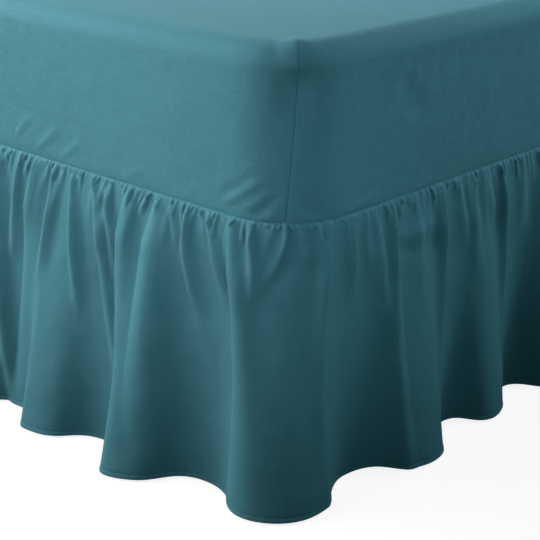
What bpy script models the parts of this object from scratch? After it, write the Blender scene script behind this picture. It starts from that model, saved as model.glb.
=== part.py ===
"""Fitted valance bed skirt on a plain mattress and divan base.

Metres, +Z up. The origin is on the floor at the middle of the whole outline, +Y points to the head of the bed and
-Y to its foot. The cover is one cloth over the mattress, top and walls, with a sewn dart at each corner. The frill
is one gathered strip that hangs from the cover's lower edge along both long sides and the foot.
"""

import math

import bmesh
import bpy
import numpy as np

COLLECTION = "fitted_valance_bed_skirt"

# The bed
BED_WIDTH = 1.35
BED_LENGTH = 1.90
SEAM_HEIGHT = 0.41  # floor to the seam between cover and frill: the frill's drop
WALL_DEPTH = 0.25  # seam to the top of the bed
TOP_HEIGHT = SEAM_HEIGHT + WALL_DEPTH
SEAM_RADIUS = 0.11  # plan radius of the bed's corners, measured at the seam
EDGE_RADIUS = 0.036  # rounding from the top into the walls

# Cloth
COVER_THICK = 0.0015
FRILL_THICK = 0.002
HEM_LIFT = 0.004  # the hem just clears the floor
TOUCH_GAP = 0.0003  # between solids that touch
SEAM_GAP = 0.0006  # between the cover's lower edge and the frill's upper one
CLOTH_GAP = 0.002  # between the cover and the mattress's walls and edges
TOP_GAP = 0.0005  # between the cover and the mattress's top
EAR_RISE = 0.008  # the dart's end stands up and out at each top corner
EAR_OUT = 0.006
EAR_REACH = 0.034
DART_SINK = 0.003  # the walls sink a little beside the dart, under the ear
DART_SPREAD = 0.055

# Mattress, base and feet
MATTRESS_RADIUS = 0.125
MATTRESS_EDGE = 0.038
BASE_INSET = 0.010
BASE_RADIUS = 0.100
BASE_EDGE = 0.006
FOOT_HEIGHT = 0.050
FOOT_RADIUS = 0.028
FOOT_INSET = 0.130
FOOT_SIDES = 20

# How far the hem reaches out from the bed
SIDE_PEAK, SIDE_VALLEY = 0.132, 0.068
END_PEAK, END_VALLEY = 0.080, 0.020
WIDEST_SIDE = 0.139
WIDEST_END = 0.086
CORNER_EXTRA = 0.020  # further out round a corner
STRIP_END_REACH = 0.030
FOOT_STANDS_OUT = 0.0887  # the widest fold at the foot with the ridge on it; nothing stands out at the head

# Folds of the hem on either side of the corner at -X, -Y. Places run along the seam in metres from the middle of
# that corner, below zero up the -X side and above zero along the foot.
# (peak at, peak reach, next valley at, valley reach, how far the fold leans by the time it meets the seam)
CORNER_FOLDS = (
    (-0.610, 0.132, -0.515, 0.084, -0.045),
    (-0.425, WIDEST_SIDE, -0.335, 0.076, -0.055),
    (-0.200, 0.137, -0.100, 0.058, -0.055),
    (-0.012, 0.117, 0.080, 0.015, 0.000),
    (0.210, WIDEST_END, 0.322, 0.018, 0.035),
    (0.392, 0.071, 0.495, 0.018, 0.040),
    (0.575, 0.082, 0.668, 0.022, 0.020),
)
FIRST_VALLEY = -0.700
FIRST_REACH = 0.080

# Ridges that run down from the gathers on the same stretch and join the hem's folds or die out.
# (top at, end at, end depth, height, half width)
CORNER_RIDGES = (
    (-0.631, -0.590, 0.41, 0.013, 0.024),
    (-0.584, -0.560, 0.20, 0.010, 0.020),
    (-0.536, -0.440, 0.41, 0.015, 0.024),
    (-0.488, -0.450, 0.27, 0.012, 0.021),
    (-0.443, -0.380, 0.25, 0.012, 0.021),
    (-0.388, -0.265, 0.36, 0.014, 0.024),
    (-0.350, -0.300, 0.20, 0.009, 0.018),
    (-0.303, -0.225, 0.41, 0.016, 0.023),
    (-0.261, -0.205, 0.38, 0.014, 0.022),
    (-0.217, -0.190, 0.09, 0.008, 0.018),
    (-0.178, -0.108, 0.20, 0.013, 0.023),
    (-0.136, -0.083, 0.14, 0.011, 0.019),
    (-0.088, -0.036, 0.41, 0.014, 0.021),
    (-0.045, -0.032, 0.16, 0.011, 0.019),
    (0.010, -0.012, 0.10, 0.008, 0.019),
    (0.052, 0.028, 0.41, 0.012, 0.021),
    (0.098, 0.088, 0.14, 0.009, 0.018),
    (0.142, 0.165, 0.24, 0.010, 0.021),
    (0.186, 0.195, 0.41, 0.012, 0.024),
    (0.242, 0.228, 0.24, 0.011, 0.022),
    (0.305, 0.262, 0.41, 0.014, 0.022),
    (0.348, 0.372, 0.20, 0.010, 0.021),
    (0.388, 0.392, 0.41, 0.010, 0.022),
    (0.428, 0.440, 0.16, 0.010, 0.019),
    (0.482, 0.440, 0.41, 0.014, 0.022),
    (0.534, 0.548, 0.24, 0.010, 0.021),
    (0.580, 0.575, 0.41, 0.013, 0.024),
    (0.632, 0.610, 0.22, 0.010, 0.020),
)

# The rest of the frill repeats a plainer fold, as unevenly as the stretch above. A fold draws in three ridges.
FOLD_PITCH = 0.193
FOLD_WANDER = 0.30  # share of the pitch
REACH_WANDER = 0.25  # share of the fold's height
GOLDEN = 0.618034
# (top from the fold's middle and end from it as shares of the pitch, end depth, height, half width)
FOLD_RIDGES = (
    (-0.34, -0.08, 0.30, 0.012, 0.022),
    (-0.02, 0.00, 0.41, 0.014, 0.024),
    (0.24, 0.06, 0.26, 0.012, 0.021),
    (0.48, 0.46, 0.15, 0.009, 0.019),
)

# How the cloth opens from the seam down
STAND = 0.006  # depth over which the cloth still hangs straight under the seam
FLARE_POWER = 0.85  # of the whole strip
FOLD_POWER = 1.25  # of the hem's folds
RIDGE_START = 0.030  # depth at which a ridge stands at its full height
RIDGE_AT_HEM = 0.30  # share of a ridge's height left where it runs into a hem fold
RIDGE_SPREAD = 0.6  # how much wider a ridge gets on its way down
FOLD_ROUNDING = 0.06  # share of half a fold by which its flanks are drawn together

# Solid meshes
FRILL_COLUMNS = 324
FRILL_ROWS = (0.0, 0.035, 0.11, 0.235, 0.42, 0.68, 1.0)
CORNER_DENSITY = 1.2  # extra columns round the corners
COVER_STEP = 0.24  # between the cover's columns on the straights
COVER_ARC_STEPS = 8
COVER_EDGE_STEPS = 4
COVER_WALL_ROWS = (0.15, 0.40, 0.70, 1.0)

# Derived places
HALF_CORNER = math.pi * SEAM_RADIUS / 4
SIDE_RUN = BED_LENGTH - 2 * SEAM_RADIUS
END_RUN = BED_WIDTH - 2 * SEAM_RADIUS
PERIMETER = 2 * (SIDE_RUN + END_RUN) + 2 * math.pi * SEAM_RADIUS
FAR_CORNER = 2 * HALF_CORNER + END_RUN
FRILL_FIRST = -(2 * HALF_CORNER + SIDE_RUN)  # the frill's ends meet the darts of the two corners at the head
FRILL_LAST = FAR_CORNER + 2 * HALF_CORNER + SIDE_RUN
DROP = SEAM_HEIGHT - HEM_LIFT
BED_CENTRE_Y = FOOT_STANDS_OUT / 2

TEAL = (0.082, 0.242, 0.285, 1.0)
TEAL_DEEP = (0.075, 0.228, 0.268, 1.0)
TICKING = (0.78, 0.77, 0.74, 1.0)
BASE_CLOTH = (0.42, 0.41, 0.40, 1.0)
FOOT_BLACK = (0.03, 0.03, 0.03, 1.0)


def clear_scene():
    """Remove every object of the scene."""
    for obj in list(bpy.data.objects):
        bpy.data.objects.remove(obj, do_unlink=True)


def make_material(name, color, roughness):
    """A plain Principled material."""
    material = bpy.data.materials.new(name)
    material.use_nodes = True
    shader = material.node_tree.nodes["Principled BSDF"]
    shader.inputs["Base Color"].default_value = color
    shader.inputs["Roughness"].default_value = roughness
    shader.inputs["Metallic"].default_value = 0.0
    return material


def add_object(name, bm, material, collection):
    """Turn a bmesh into a named object with its material, shaded smooth but for its sharp edges."""
    mesh = bpy.data.meshes.new(name)
    bm.to_mesh(mesh)
    bm.free()
    mesh.shade_smooth()
    mesh.set_sharp_from_angle(angle=math.radians(50))
    mesh.materials.append(material)
    obj = bpy.data.objects.new(name, mesh)
    collection.objects.link(obj)
    return obj


def give_thickness(obj, thickness):
    """Thicken an open cloth surface by the same amount to both sides."""
    solid = obj.modifiers.new("Thickness", "SOLIDIFY")
    solid.thickness = thickness
    solid.offset = 0.0


def ease(share):
    """Smooth step from 0 at share 0 to 1 at share 1, flat outside."""
    share = np.clip(share, 0.0, 1.0)
    return share * share * (3 - 2 * share)


def bump(distance, reach):
    """Soft hump of height 1 that ends at the given reach to either side."""
    share = np.clip(np.abs(distance) / reach, 0.0, 1.0)
    return (1 - share * share) ** 2


def uneven(index, shift=0.0):
    """A number between -0.5 and 0.5 that never settles into a repeat."""
    return (index * GOLDEN + shift) % 1.0 - 0.5


def seam_path(along):
    """Plan place on the bed's rounded outline at the seam, and the direction outwards there.

    Four quarter arcs are joined by straights. The way round starts half an arc before the corner at -X, -Y, whose
    middle is at 0, and goes along the foot first.
    """
    arc = 2 * HALF_CORNER
    travelled = np.minimum((np.asarray(along, dtype=float) + HALF_CORNER) % PERIMETER, PERIMETER - 1e-9)
    x = np.zeros_like(travelled)
    y = np.zeros_like(travelled)
    angle = np.zeros_like(travelled)
    start = 0.0
    corners = ((-1, -1, END_RUN), (1, -1, SIDE_RUN), (1, 1, END_RUN), (-1, 1, SIDE_RUN))
    for turn, (side_x, side_y, run) in enumerate(corners):
        into = travelled - start
        here = (into >= 0) & (into < arc + run)
        first_angle = math.pi * (1 + turn / 2)
        last_angle = first_angle + math.pi / 2
        forward = np.clip(into - arc, 0.0, run)
        angle = np.where(here, first_angle + np.clip(into / arc, 0.0, 1.0) * math.pi / 2, angle)
        x = np.where(here, side_x * (BED_WIDTH / 2 - SEAM_RADIUS) - forward * math.sin(last_angle), x)
        y = np.where(here, side_y * (BED_LENGTH / 2 - SEAM_RADIUS) + forward * math.cos(last_angle), y)
        start += arc + run
    outward = np.stack([np.cos(angle), np.sin(angle)], axis=-1)
    place = np.stack([x, y + BED_CENTRE_Y], axis=-1) + outward * SEAM_RADIUS
    return place, outward


def repeated_folds(start, end):
    """Rows like CORNER_FOLDS for a stretch of the hem that starts in a valley, in order away from start."""
    count = round(abs(end - start) / FOLD_PITCH)
    pitch = (end - start) / count
    rows = []
    for index in range(count):
        peak_at = start + pitch * (index + 0.5 + FOLD_WANDER * uneven(index))
        valley_at = start + pitch * (index + 1 + FOLD_WANDER * uneven(index, 0.37) * (index < count - 1))
        side = float(ease((peak_at - FAR_CORNER + HALF_CORNER) / (2 * HALF_CORNER))) if end > start else 1.0
        corner = CORNER_EXTRA * float(bump(peak_at - FAR_CORNER, 2 * HALF_CORNER))
        peak = END_PEAK + (SIDE_PEAK - END_PEAK) * side
        valley = END_VALLEY + (SIDE_VALLEY - END_VALLEY) * side
        wander = REACH_WANDER * (peak - valley)
        peak_reach = peak + corner + wander * min(uneven(index, 0.21), (WIDEST_SIDE - SIDE_PEAK) / wander)
        valley_reach = valley + wander * uneven(index, 0.68) if index < count - 1 else STRIP_END_REACH
        rows.append((peak_at, peak_reach, valley_at, valley_reach, 0.0))
    return rows


def hem_rows():
    """The hem's folds all the way round, as arrays of where they are and how far they reach."""
    before = repeated_folds(FIRST_VALLEY, FRILL_FIRST)
    after = repeated_folds(CORNER_FOLDS[-1][2], FRILL_LAST)
    knots = [(FIRST_VALLEY, FIRST_REACH)]
    leans = []
    for peak_at, peak_reach, valley_at, valley_reach, lean in [*before, *CORNER_FOLDS, *after]:
        knots += [(peak_at, peak_reach), (valley_at, valley_reach)]
        leans.append((peak_at, lean))
    knots.sort()
    leans.sort()
    return np.array(knots), np.array(leans), before, after


def ridge_rows(before, after):
    """Every ridge of the frill: the corner's own and those that each repeated fold draws in."""
    rows = list(CORNER_RIDGES)
    for stretch in (before, after):
        for index, (peak_at, _, valley_at, _, _) in enumerate(stretch):
            pitch = 2 * (valley_at - peak_at)
            for number, (top, end, end_depth, height, half_width) in enumerate(FOLD_RIDGES):
                stray = 0.12 * uneven(index, 0.29 * number)
                grow = 1 + 0.5 * uneven(index, 0.53 * number)
                depth = DROP if end_depth > DROP else end_depth * grow
                rows.append((peak_at + (top + stray) * pitch, peak_at + end * pitch, depth, height * grow,
                             half_width))
    return rows


def frill_place(along, depth, hem, leans, ridges):
    """Place of the frill's cloth at points along the seam and at depths below it, all as arrays.

    The cloth hangs straight for a short way, opens with a power of the depth towards the hem's valleys, and swells
    into the hem's folds further down. A fold is a half cosine between its valley and its peak. Its flanks are drawn
    together sideways, twice per half cosine, which makes them steeper. Ridges are soft humps on straight slanting
    lines that start at the gathers.
    """
    share = depth / DROP
    lean = np.interp(along, leans[:, 0], leans[:, 1])
    at = np.clip(along - lean * (1 - share), hem[0, 0], hem[-1, 0])
    index = np.clip(np.searchsorted(hem[:, 0], at, side="right") - 1, 0, len(hem) - 2)
    span = hem[index + 1, 0] - hem[index, 0]
    between = (at - hem[index, 0]) / span
    reach = hem[index, 1] + (hem[index + 1, 1] - hem[index, 1]) * (1 - np.cos(math.pi * between)) / 2
    valley_reach = np.interp(at, hem[::2, 0], hem[::2, 1])

    opening = np.clip((depth - STAND) / (DROP - STAND), 0.0, 1.0)
    swell = opening ** FOLD_POWER
    out = valley_reach * opening ** FLARE_POWER + (reach - valley_reach) * swell
    slide = FOLD_ROUNDING * span * np.sin(2 * math.pi * between) * swell
    rise = ease(depth / RIDGE_START)
    for top, end, end_depth, height, half_width in ridges:
        down = np.clip(depth / min(end_depth, DROP), 0.0, 1.0)
        to_hem = end_depth >= DROP
        fade = 1 - (1 - RIDGE_AT_HEM) * ease(down) if to_hem else 1 - ease((down - 0.4) / 0.6)
        width = half_width * (0.8 + RIDGE_SPREAD * down)
        out = out + height * rise * fade * bump(along - (top + (end - top) * down), width)
    place, outward = seam_path(along)
    sideways = np.stack([-outward[..., 1], outward[..., 0]], axis=-1)
    plan = place + outward * (out - COVER_THICK / 2)[..., None] + sideways * slide[..., None]
    height = SEAM_HEIGHT - SEAM_GAP / 2 - depth * (1 - SEAM_GAP / 2 / DROP)
    return np.concatenate([plan, height[..., None]], axis=-1)


def frill_columns():
    """Where the frill's columns start on the seam: even on the straights and closer round the corners."""
    along = np.linspace(FRILL_FIRST, FRILL_LAST, 8 * FRILL_COLUMNS)
    density = 1 + CORNER_DENSITY * (bump(along, 0.2) + bump(along - FAR_CORNER, 0.2))
    travelled = np.concatenate([[0.0], np.cumsum((density[1:] + density[:-1]) / 2)])
    return np.interp(np.linspace(0, travelled[-1], FRILL_COLUMNS + 1), travelled, along)


def build_frill(material, collection):
    """The gathered strip: a grid whose columns hang from the seam and whose rows go down to the hem."""
    hem, leans, before, after = hem_rows()
    ridges = ridge_rows(before, after)
    columns = frill_columns()
    depths = np.array(FRILL_ROWS) * DROP
    along, depth = np.meshgrid(columns, depths, indexing="ij")
    places = frill_place(along, depth, hem, leans, ridges)
    bm = bmesh.new()
    rows = len(FRILL_ROWS) - 1
    bmesh.ops.create_grid(bm, x_segments=FRILL_COLUMNS, y_segments=rows, size=0.5)
    for vert in bm.verts:
        column = round((vert.co.x + 0.5) * FRILL_COLUMNS)
        row = round((0.5 - vert.co.y) * rows)
        vert.co = places[column, row]
    obj = add_object("frill", bm, material, collection)
    give_thickness(obj, FRILL_THICK)


def cover_columns():
    """Where the cover's columns stand round the whole outline: close on the arcs, wide on the straights."""
    columns = []
    start = -HALF_CORNER
    for run in (END_RUN, SIDE_RUN, END_RUN, SIDE_RUN):
        columns.extend(start + np.arange(COVER_ARC_STEPS) * 2 * HALF_CORNER / COVER_ARC_STEPS)
        start += 2 * HALF_CORNER
        steps = math.ceil(run / COVER_STEP)
        columns.extend(start + np.arange(steps) * run / steps)
        start += run
    return np.array([*columns, start])


def corner_distance(along):
    """Distance along the outline to the middle of the nearest corner."""
    middles = (0.0, FAR_CORNER, FAR_CORNER + 2 * HALF_CORNER + SIDE_RUN,
               2 * FAR_CORNER + 2 * HALF_CORNER + SIDE_RUN)
    apart = [np.abs((along - middle + PERIMETER / 2) % PERIMETER - PERIMETER / 2) for middle in middles]
    return np.min(apart, axis=0)


def cover_place(along, inset, height):
    """Place of the cover's cloth: inset is measured in from the wall and height from the floor.

    At a corner the dart's end pulls the rounded edge up and out into a small ear, and the wall below it sinks.
    """
    near = corner_distance(along)
    top = TOP_HEIGHT - COVER_THICK / 2
    below = top - height
    ear = bump(near, EAR_REACH) * bump(inset - EDGE_RADIUS * 0.3, EDGE_RADIUS * 0.7) * (below < EDGE_RADIUS)
    sink = DART_SINK * bump(near, DART_SPREAD) * bump(below - 0.09, 0.07) * (inset == 0)
    place, outward = seam_path(along)
    out = EAR_OUT * ear - inset - sink - COVER_THICK / 2
    return np.concatenate([place + outward * out[..., None], (height + EAR_RISE * ear)[..., None]], axis=-1)


def build_cover(material, collection):
    """The fitted cover: rings from the flat top over the rounded edge and down the walls, the top filled flat."""
    turns = np.linspace(0, math.pi / 2, COVER_EDGE_STEPS + 1)
    top = TOP_HEIGHT - COVER_THICK / 2
    lower_edge = SEAM_HEIGHT + SEAM_GAP / 2
    insets = EDGE_RADIUS * (1 - np.sin(turns))
    insets[-1] = 0.0
    heights = top - EDGE_RADIUS * (1 - np.cos(turns))
    wall = heights[-1] - np.array(COVER_WALL_ROWS) * (heights[-1] - lower_edge)
    insets = np.concatenate([insets, np.zeros(len(wall))])
    heights = np.concatenate([heights, wall])
    columns = cover_columns()
    along, inset = np.meshgrid(columns, insets, indexing="ij")
    places = cover_place(along, inset, np.broadcast_to(heights, along.shape))
    bm = bmesh.new()
    steps, rings = len(columns) - 1, len(heights) - 1
    bmesh.ops.create_grid(bm, x_segments=steps, y_segments=rings, size=0.5)
    for vert in bm.verts:
        column = round((vert.co.x + 0.5) * steps)
        ring = round((0.5 - vert.co.y) * rings)
        vert.co = places[column, ring]
    bmesh.ops.remove_doubles(bm, verts=bm.verts, dist=0.0001)
    rim = [edge for edge in bm.edges if edge.is_boundary and edge.verts[0].co.z > top - EDGE_RADIUS]
    bmesh.ops.edgeloop_fill(bm, edges=rim)
    bmesh.ops.recalc_face_normals(bm, faces=bm.faces)
    obj = add_object("fitted_cover", bm, material, collection)
    give_thickness(obj, COVER_THICK)


def add_block(name, width, length, low, high, radius, edge, material, collection):
    """A plain block with rounded corners in plan and rounded edges at its top and bottom."""
    bm = bmesh.new()
    bmesh.ops.create_cube(bm, size=1.0)
    bmesh.ops.scale(bm, vec=(width, length, high - low), verts=bm.verts)
    bmesh.ops.translate(bm, vec=(0, BED_CENTRE_Y, (low + high) / 2), verts=bm.verts)
    uprights = [e for e in bm.edges if abs(e.verts[0].co.z - e.verts[1].co.z) > (high - low) / 2]
    bmesh.ops.bevel(bm, geom=uprights, offset=radius, segments=6, profile=0.5, affect="EDGES")
    level = [e for e in bm.edges if abs(e.verts[0].co.z - e.verts[1].co.z) < 1e-6]
    bmesh.ops.bevel(bm, geom=level, offset=edge, segments=3 if edge > 0.02 else 1, profile=0.5, affect="EDGES")
    return add_object(name, bm, material, collection)


def build_mattress(material, collection):
    """The mattress, a hair clear of the cover."""
    shrink = 2 * (COVER_THICK + CLOTH_GAP)
    top = TOP_HEIGHT - COVER_THICK - TOP_GAP
    add_block("mattress", BED_WIDTH - shrink, BED_LENGTH - shrink, SEAM_HEIGHT, top, MATTRESS_RADIUS,
              MATTRESS_EDGE, material, collection)


def build_base(material, collection):
    """The divan base under the mattress, set in from the frill."""
    top = SEAM_HEIGHT - TOUCH_GAP
    add_block("bed_base", BED_WIDTH - 2 * BASE_INSET, BED_LENGTH - 2 * BASE_INSET, FOOT_HEIGHT, top, BASE_RADIUS,
              BASE_EDGE, material, collection)


def build_feet(material, collection):
    """Three feet under each long side of the base."""
    for side, side_name in ((-1, "left"), (1, "right")):
        for row, row_name in ((-1, "foot_end"), (0, "middle"), (1, "head_end")):
            bm = bmesh.new()
            height = FOOT_HEIGHT - TOUCH_GAP
            bmesh.ops.create_cone(bm, cap_ends=True, segments=FOOT_SIDES, radius1=FOOT_RADIUS * 0.86,
                                  radius2=FOOT_RADIUS, depth=height)
            obj = add_object(f"foot_{side_name}_{row_name}", bm, material, collection)
            obj.location = (side * (BED_WIDTH / 2 - FOOT_INSET), BED_CENTRE_Y + row * (BED_LENGTH / 2 - FOOT_INSET),
                            height / 2)


def main():
    """Model the bed skirt and the bed it fits."""
    clear_scene()
    collection = bpy.data.collections.new(COLLECTION)
    bpy.context.scene.collection.children.link(collection)
    build_cover(make_material("cover_cloth", TEAL, 0.85), collection)
    build_frill(make_material("frill_cloth", TEAL_DEEP, 0.85), collection)
    build_mattress(make_material("mattress_ticking", TICKING, 0.9), collection)
    build_base(make_material("base_cloth", BASE_CLOTH, 0.95), collection)
    build_feet(make_material("foot_plastic", FOOT_BLACK, 0.5), collection)


main()
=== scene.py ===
"""Looks of a fitted valance bed skirt over a plain mattress and divan base.

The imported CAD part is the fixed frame, in metres, +Z up, the head of the bed at +Y. The two cloths are built
here as finer sheets on the form of their solids: the fitted cover with its darts and soft folds, and the
frill with its gathers, ridges, hem folds and turned hem. The mattress, the base and the feet stay the CAD's
and get finishes.
"""

import logging
import math
from collections.abc import Mapping, Sequence
from dataclasses import dataclass, field
from enum import Enum
from typing import Any, NamedTuple

import bpy
import numpy as np
from mathutils import Matrix, Vector

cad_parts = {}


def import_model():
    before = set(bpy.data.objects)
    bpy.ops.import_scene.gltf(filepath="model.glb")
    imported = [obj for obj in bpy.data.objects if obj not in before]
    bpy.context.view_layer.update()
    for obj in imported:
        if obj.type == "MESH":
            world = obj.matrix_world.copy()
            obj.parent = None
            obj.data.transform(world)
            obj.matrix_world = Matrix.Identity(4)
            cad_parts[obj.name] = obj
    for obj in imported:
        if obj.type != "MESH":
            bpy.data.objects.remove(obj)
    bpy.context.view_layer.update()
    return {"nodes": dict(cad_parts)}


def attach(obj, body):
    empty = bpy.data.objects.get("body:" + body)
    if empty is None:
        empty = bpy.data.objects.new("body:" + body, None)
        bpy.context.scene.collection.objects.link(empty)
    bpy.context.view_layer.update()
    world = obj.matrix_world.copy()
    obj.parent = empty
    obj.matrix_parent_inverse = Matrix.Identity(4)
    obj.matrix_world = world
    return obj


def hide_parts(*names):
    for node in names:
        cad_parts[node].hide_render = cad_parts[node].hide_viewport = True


log = logging.getLogger("bed_skirt")

Array = np.ndarray
Pair = tuple[float, float]
Colour = tuple[float, float, float, float]
GOLDEN = 0.618034


# -----------------------------------------------------------------------------------------------------------
# Curves that every cloth uses


def ease(share: Array | float) -> Array:
    """Smooth step: 3 x^2 - 2 x^3 of the share kept between 0 and 1."""
    share = np.clip(share, 0.0, 1.0)
    return share * share * (3 - 2 * share)


def bump(distance: Array | float, reach: Array | float) -> Array:
    """Soft hump (1 - (distance / reach)^2)^2, which ends at the reach to either side."""
    share = np.clip(np.abs(distance) / reach, 0.0, 1.0)
    return (1 - share * share) ** 2


def crest(distance: Array, roundness: float = 0.0) -> Array:
    """Hump (1 - d^p)^q that ends at a distance of 1, with p = 1.4 + roundness and q = 1.6 + 0.4 roundness."""
    return (1 - np.clip(np.abs(distance), 0.0, 1.0) ** (1.4 + roundness)) ** (1.6 + 0.4 * roundness)


def uneven(index: Array | float, shift: float = 0.0) -> Array | float:
    """Fraction of index * golden cut + shift, less 0.5. It never repeats. Each shift gives its own row."""
    return (index * GOLDEN + shift) % 1.0 - 0.5


def running(steps: Array) -> Array:
    """Running sum of steps, from zero."""
    return np.concatenate([[0.0], np.cumsum(steps)])


def crumple(across: Array, down: Array, finest: float, coarsest: float, waves: int = 9) -> Array:
    """Slight unevenness of cloth: a mean of plane sine waves.

    Wave n runs in the direction of n golden turns, and its length goes evenly from the coarsest to the
    finest.

    Args:
        across: Place along the cloth in metres.
        down: Place down the cloth in metres, of a shape that goes with across.
        finest: Shortest wavelength in metres.
        coarsest: Longest wavelength in metres.
        waves: Number of waves.

    Returns:
        Heights of about -1 to 1, of the two arrays' common shape.
    """
    total = np.zeros(np.broadcast(across, down).shape)
    for number in range(waves):
        turn = 2 * math.pi * (number * GOLDEN % 1.0)
        length = coarsest * (finest / coarsest) ** (number / (waves - 1))
        phase = 2 * math.pi * (number * number * GOLDEN % 1.0)
        travel = across * math.cos(turn) + down * math.sin(turn)
        total = total + np.sin(2 * math.pi * travel / length + phase) * (length / coarsest) ** 0.5
    return total / math.sqrt(waves)


class Crease(NamedTuple):
    """A soft ridge, or a trough where its height is below zero, placed on a cloth."""

    points: tuple[Pair, ...]
    height: float
    half_width: float
    starts_full: bool = False
    ends_full: bool = False

    def relief(self, across: Array, down: Array) -> Array:
        """How far the crease lifts the cloth.

        A smooth line runs through the points, its two coordinates being polynomials of the share of the way.
        The lift is the soft hump of the distance to that line over the half width, and it fades in over the
        first third of the line and out over the last one.

        Args:
            across: Place along the cloth, one row.
            down: Place down the cloth, one column.

        Returns:
            Lift in metres, one row for each entry of down.
        """
        lift = np.zeros((len(down), len(across)))
        shares = np.linspace(0, 1, len(self.points))
        ways = np.linspace(0, 1, 8 * len(self.points))
        line = np.stack([np.polyval(np.polyfit(shares, values, len(shares) - 1), ways)
                         for values in np.array(self.points).T])
        first, last = np.searchsorted(across, [line[0].min() - self.half_width,
                                               line[0].max() + self.half_width])
        rows = np.flatnonzero((down > line[1].min() - self.half_width)
                              & (down < line[1].max() + self.half_width))
        if first == last or not len(rows):
            return lift
        x, y = np.meshgrid(across[first:last], down[rows])
        nearest = np.full(x.shape, np.inf)
        along = np.zeros(x.shape)
        for step in range(len(ways) - 1):
            start, run = line[:, step], line[:, step + 1] - line[:, step]
            part = np.clip(((x - start[0]) * run[0] + (y - start[1]) * run[1]) / (run @ run), 0, 1)
            apart = np.hypot(x - start[0] - part * run[0], y - start[1] - part * run[1])
            closer = apart < nearest
            nearest = np.where(closer, apart, nearest)
            along = np.where(closer, ways[step] + part * (ways[step + 1] - ways[step]), along)
        fade = ((1.0 if self.starts_full else ease(3 * along))
                * (1.0 if self.ends_full else ease(3 * (1 - along))))
        lift[rows, first:last] = self.height * fade * bump(nearest, self.half_width)
        return lift


@dataclass(frozen=True)
class Grading:
    """Spacing of a cloth's columns: fine near the photographed corner, changing to plain far from it."""

    fine_step: float
    plain_step: float
    fine_reach: float
    change: float

    def places(self, way: Array, distance: Array, multiple: int = 1) -> Array:
        """Spreads columns over a way.

        Their density is a mean of one over each step, weighted by a smooth step of the distance. Its running
        sum is cut into even parts.

        Args:
            way: Close, even places from the way's start to its end.
            distance: Distance of each from the photographed corner.
            multiple: What the number of parts is a multiple of.

        Returns:
            Places of the columns.
        """
        near = ease((self.fine_reach + self.change / 2 - distance) / self.change)
        density = near / self.fine_step + (1 - near) / self.plain_step
        passed = running((density[1:] + density[:-1]) / 2 * np.diff(way))
        count = multiple * round(passed[-1] / multiple)
        return np.interp(np.linspace(0, passed[-1], count + 1), passed, way)


# -----------------------------------------------------------------------------------------------------------
# The bed's outline


@dataclass(frozen=True)
class Outline:
    """The bed's rounded outline at the seam, walked in metres from the middle of the corner at -X, -Y.

    Places below zero lie up the -X side, and places above zero along the foot and then up the +X side.
    """

    width: float = 1.35
    length: float = 1.90
    radius: float = 0.11
    centre_y: float = 0.04435
    easing: float = 0.026

    @property
    def half_corner(self) -> float:
        """Half the arc of a corner."""
        return math.pi * self.radius / 4

    @property
    def end_run(self) -> float:
        """Straight part of the foot."""
        return self.width - 2 * self.radius

    @property
    def side_run(self) -> float:
        """Straight part of a long side."""
        return self.length - 2 * self.radius

    @property
    def perimeter(self) -> float:
        """The whole way round."""
        return 2 * (self.end_run + self.side_run) + 2 * math.pi * self.radius

    @property
    def corners(self) -> tuple[float, float, float, float]:
        """Places of the four corners' middles, the photographed one first."""
        foot, side = 2 * self.half_corner + self.end_run, 2 * self.half_corner + self.side_run
        return 0.0, foot, foot + side, 2 * foot + side

    def place(self, along: Array) -> tuple[Array, Array]:
        """Plan place and outward direction at places along the outline.

        Each is the mean over a short run of the sharp outline, so that the corners start softly.

        Args:
            along: Places in metres.

        Returns:
            Plan places and unit outward directions, each with x and y as its last axis.
        """
        along = np.asarray(along, dtype=float)
        shifts = np.linspace(-self.easing, self.easing, 7)
        places, outwards = zip(*(self.sharp_place(along + shift) for shift in shifts))
        outward = np.mean(outwards, axis=0)
        return np.mean(places, axis=0), outward / np.linalg.norm(outward, axis=-1, keepdims=True)

    def sharp_place(self, along: Array) -> tuple[Array, Array]:
        """Plan place and outward direction on four quarter arcs that are joined by straights, each in turn.

        Args:
            along: Places in metres.

        Returns:
            Plan places and unit outward directions, each with x and y as its last axis.
        """
        arc = 2 * self.half_corner
        travelled = (along + self.half_corner) % self.perimeter
        travelled = np.minimum(travelled, self.perimeter - 1e-9)
        x, y, angle = (np.zeros_like(travelled) for _ in range(3))
        start = 0.0
        sides = ((-1, -1, self.end_run), (1, -1, self.side_run), (1, 1, self.end_run), (-1, 1, self.side_run))
        for turn, (side_x, side_y, run) in enumerate(sides):
            into = travelled - start
            here = (into >= 0) & (into < arc + run)
            first_angle = math.pi * (1 + turn / 2)
            last_angle = first_angle + math.pi / 2
            forward = np.clip(into - arc, 0.0, run)
            angle = np.where(here, first_angle + np.clip(into / arc, 0.0, 1.0) * math.pi / 2, angle)
            x = np.where(here, side_x * (self.width / 2 - self.radius) - forward * math.sin(last_angle), x)
            y = np.where(here, side_y * (self.length / 2 - self.radius) + forward * math.cos(last_angle), y)
            start += arc + run
        outward = np.stack([np.cos(angle), np.sin(angle)], axis=-1)
        return np.stack([x, y + self.centre_y], axis=-1) + outward * self.radius, outward

    def from_corner(self, along: Array, corner: int) -> Array:
        """Signed way along the outline from a corner's middle, the short way round."""
        half = self.perimeter / 2
        return (along - self.corners[corner] + half) % self.perimeter - half


# -----------------------------------------------------------------------------------------------------------
# Meshes


def linked(name: str, data: bpy.types.ID) -> bpy.types.Object:
    """A new object in the scene's collection.

    Args:
        name: The object's name.
        data: Its mesh, light or camera.

    Returns:
        The object.
    """
    obj = bpy.data.objects.new(name, data)
    bpy.context.scene.collection.objects.link(obj)
    return obj


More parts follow.
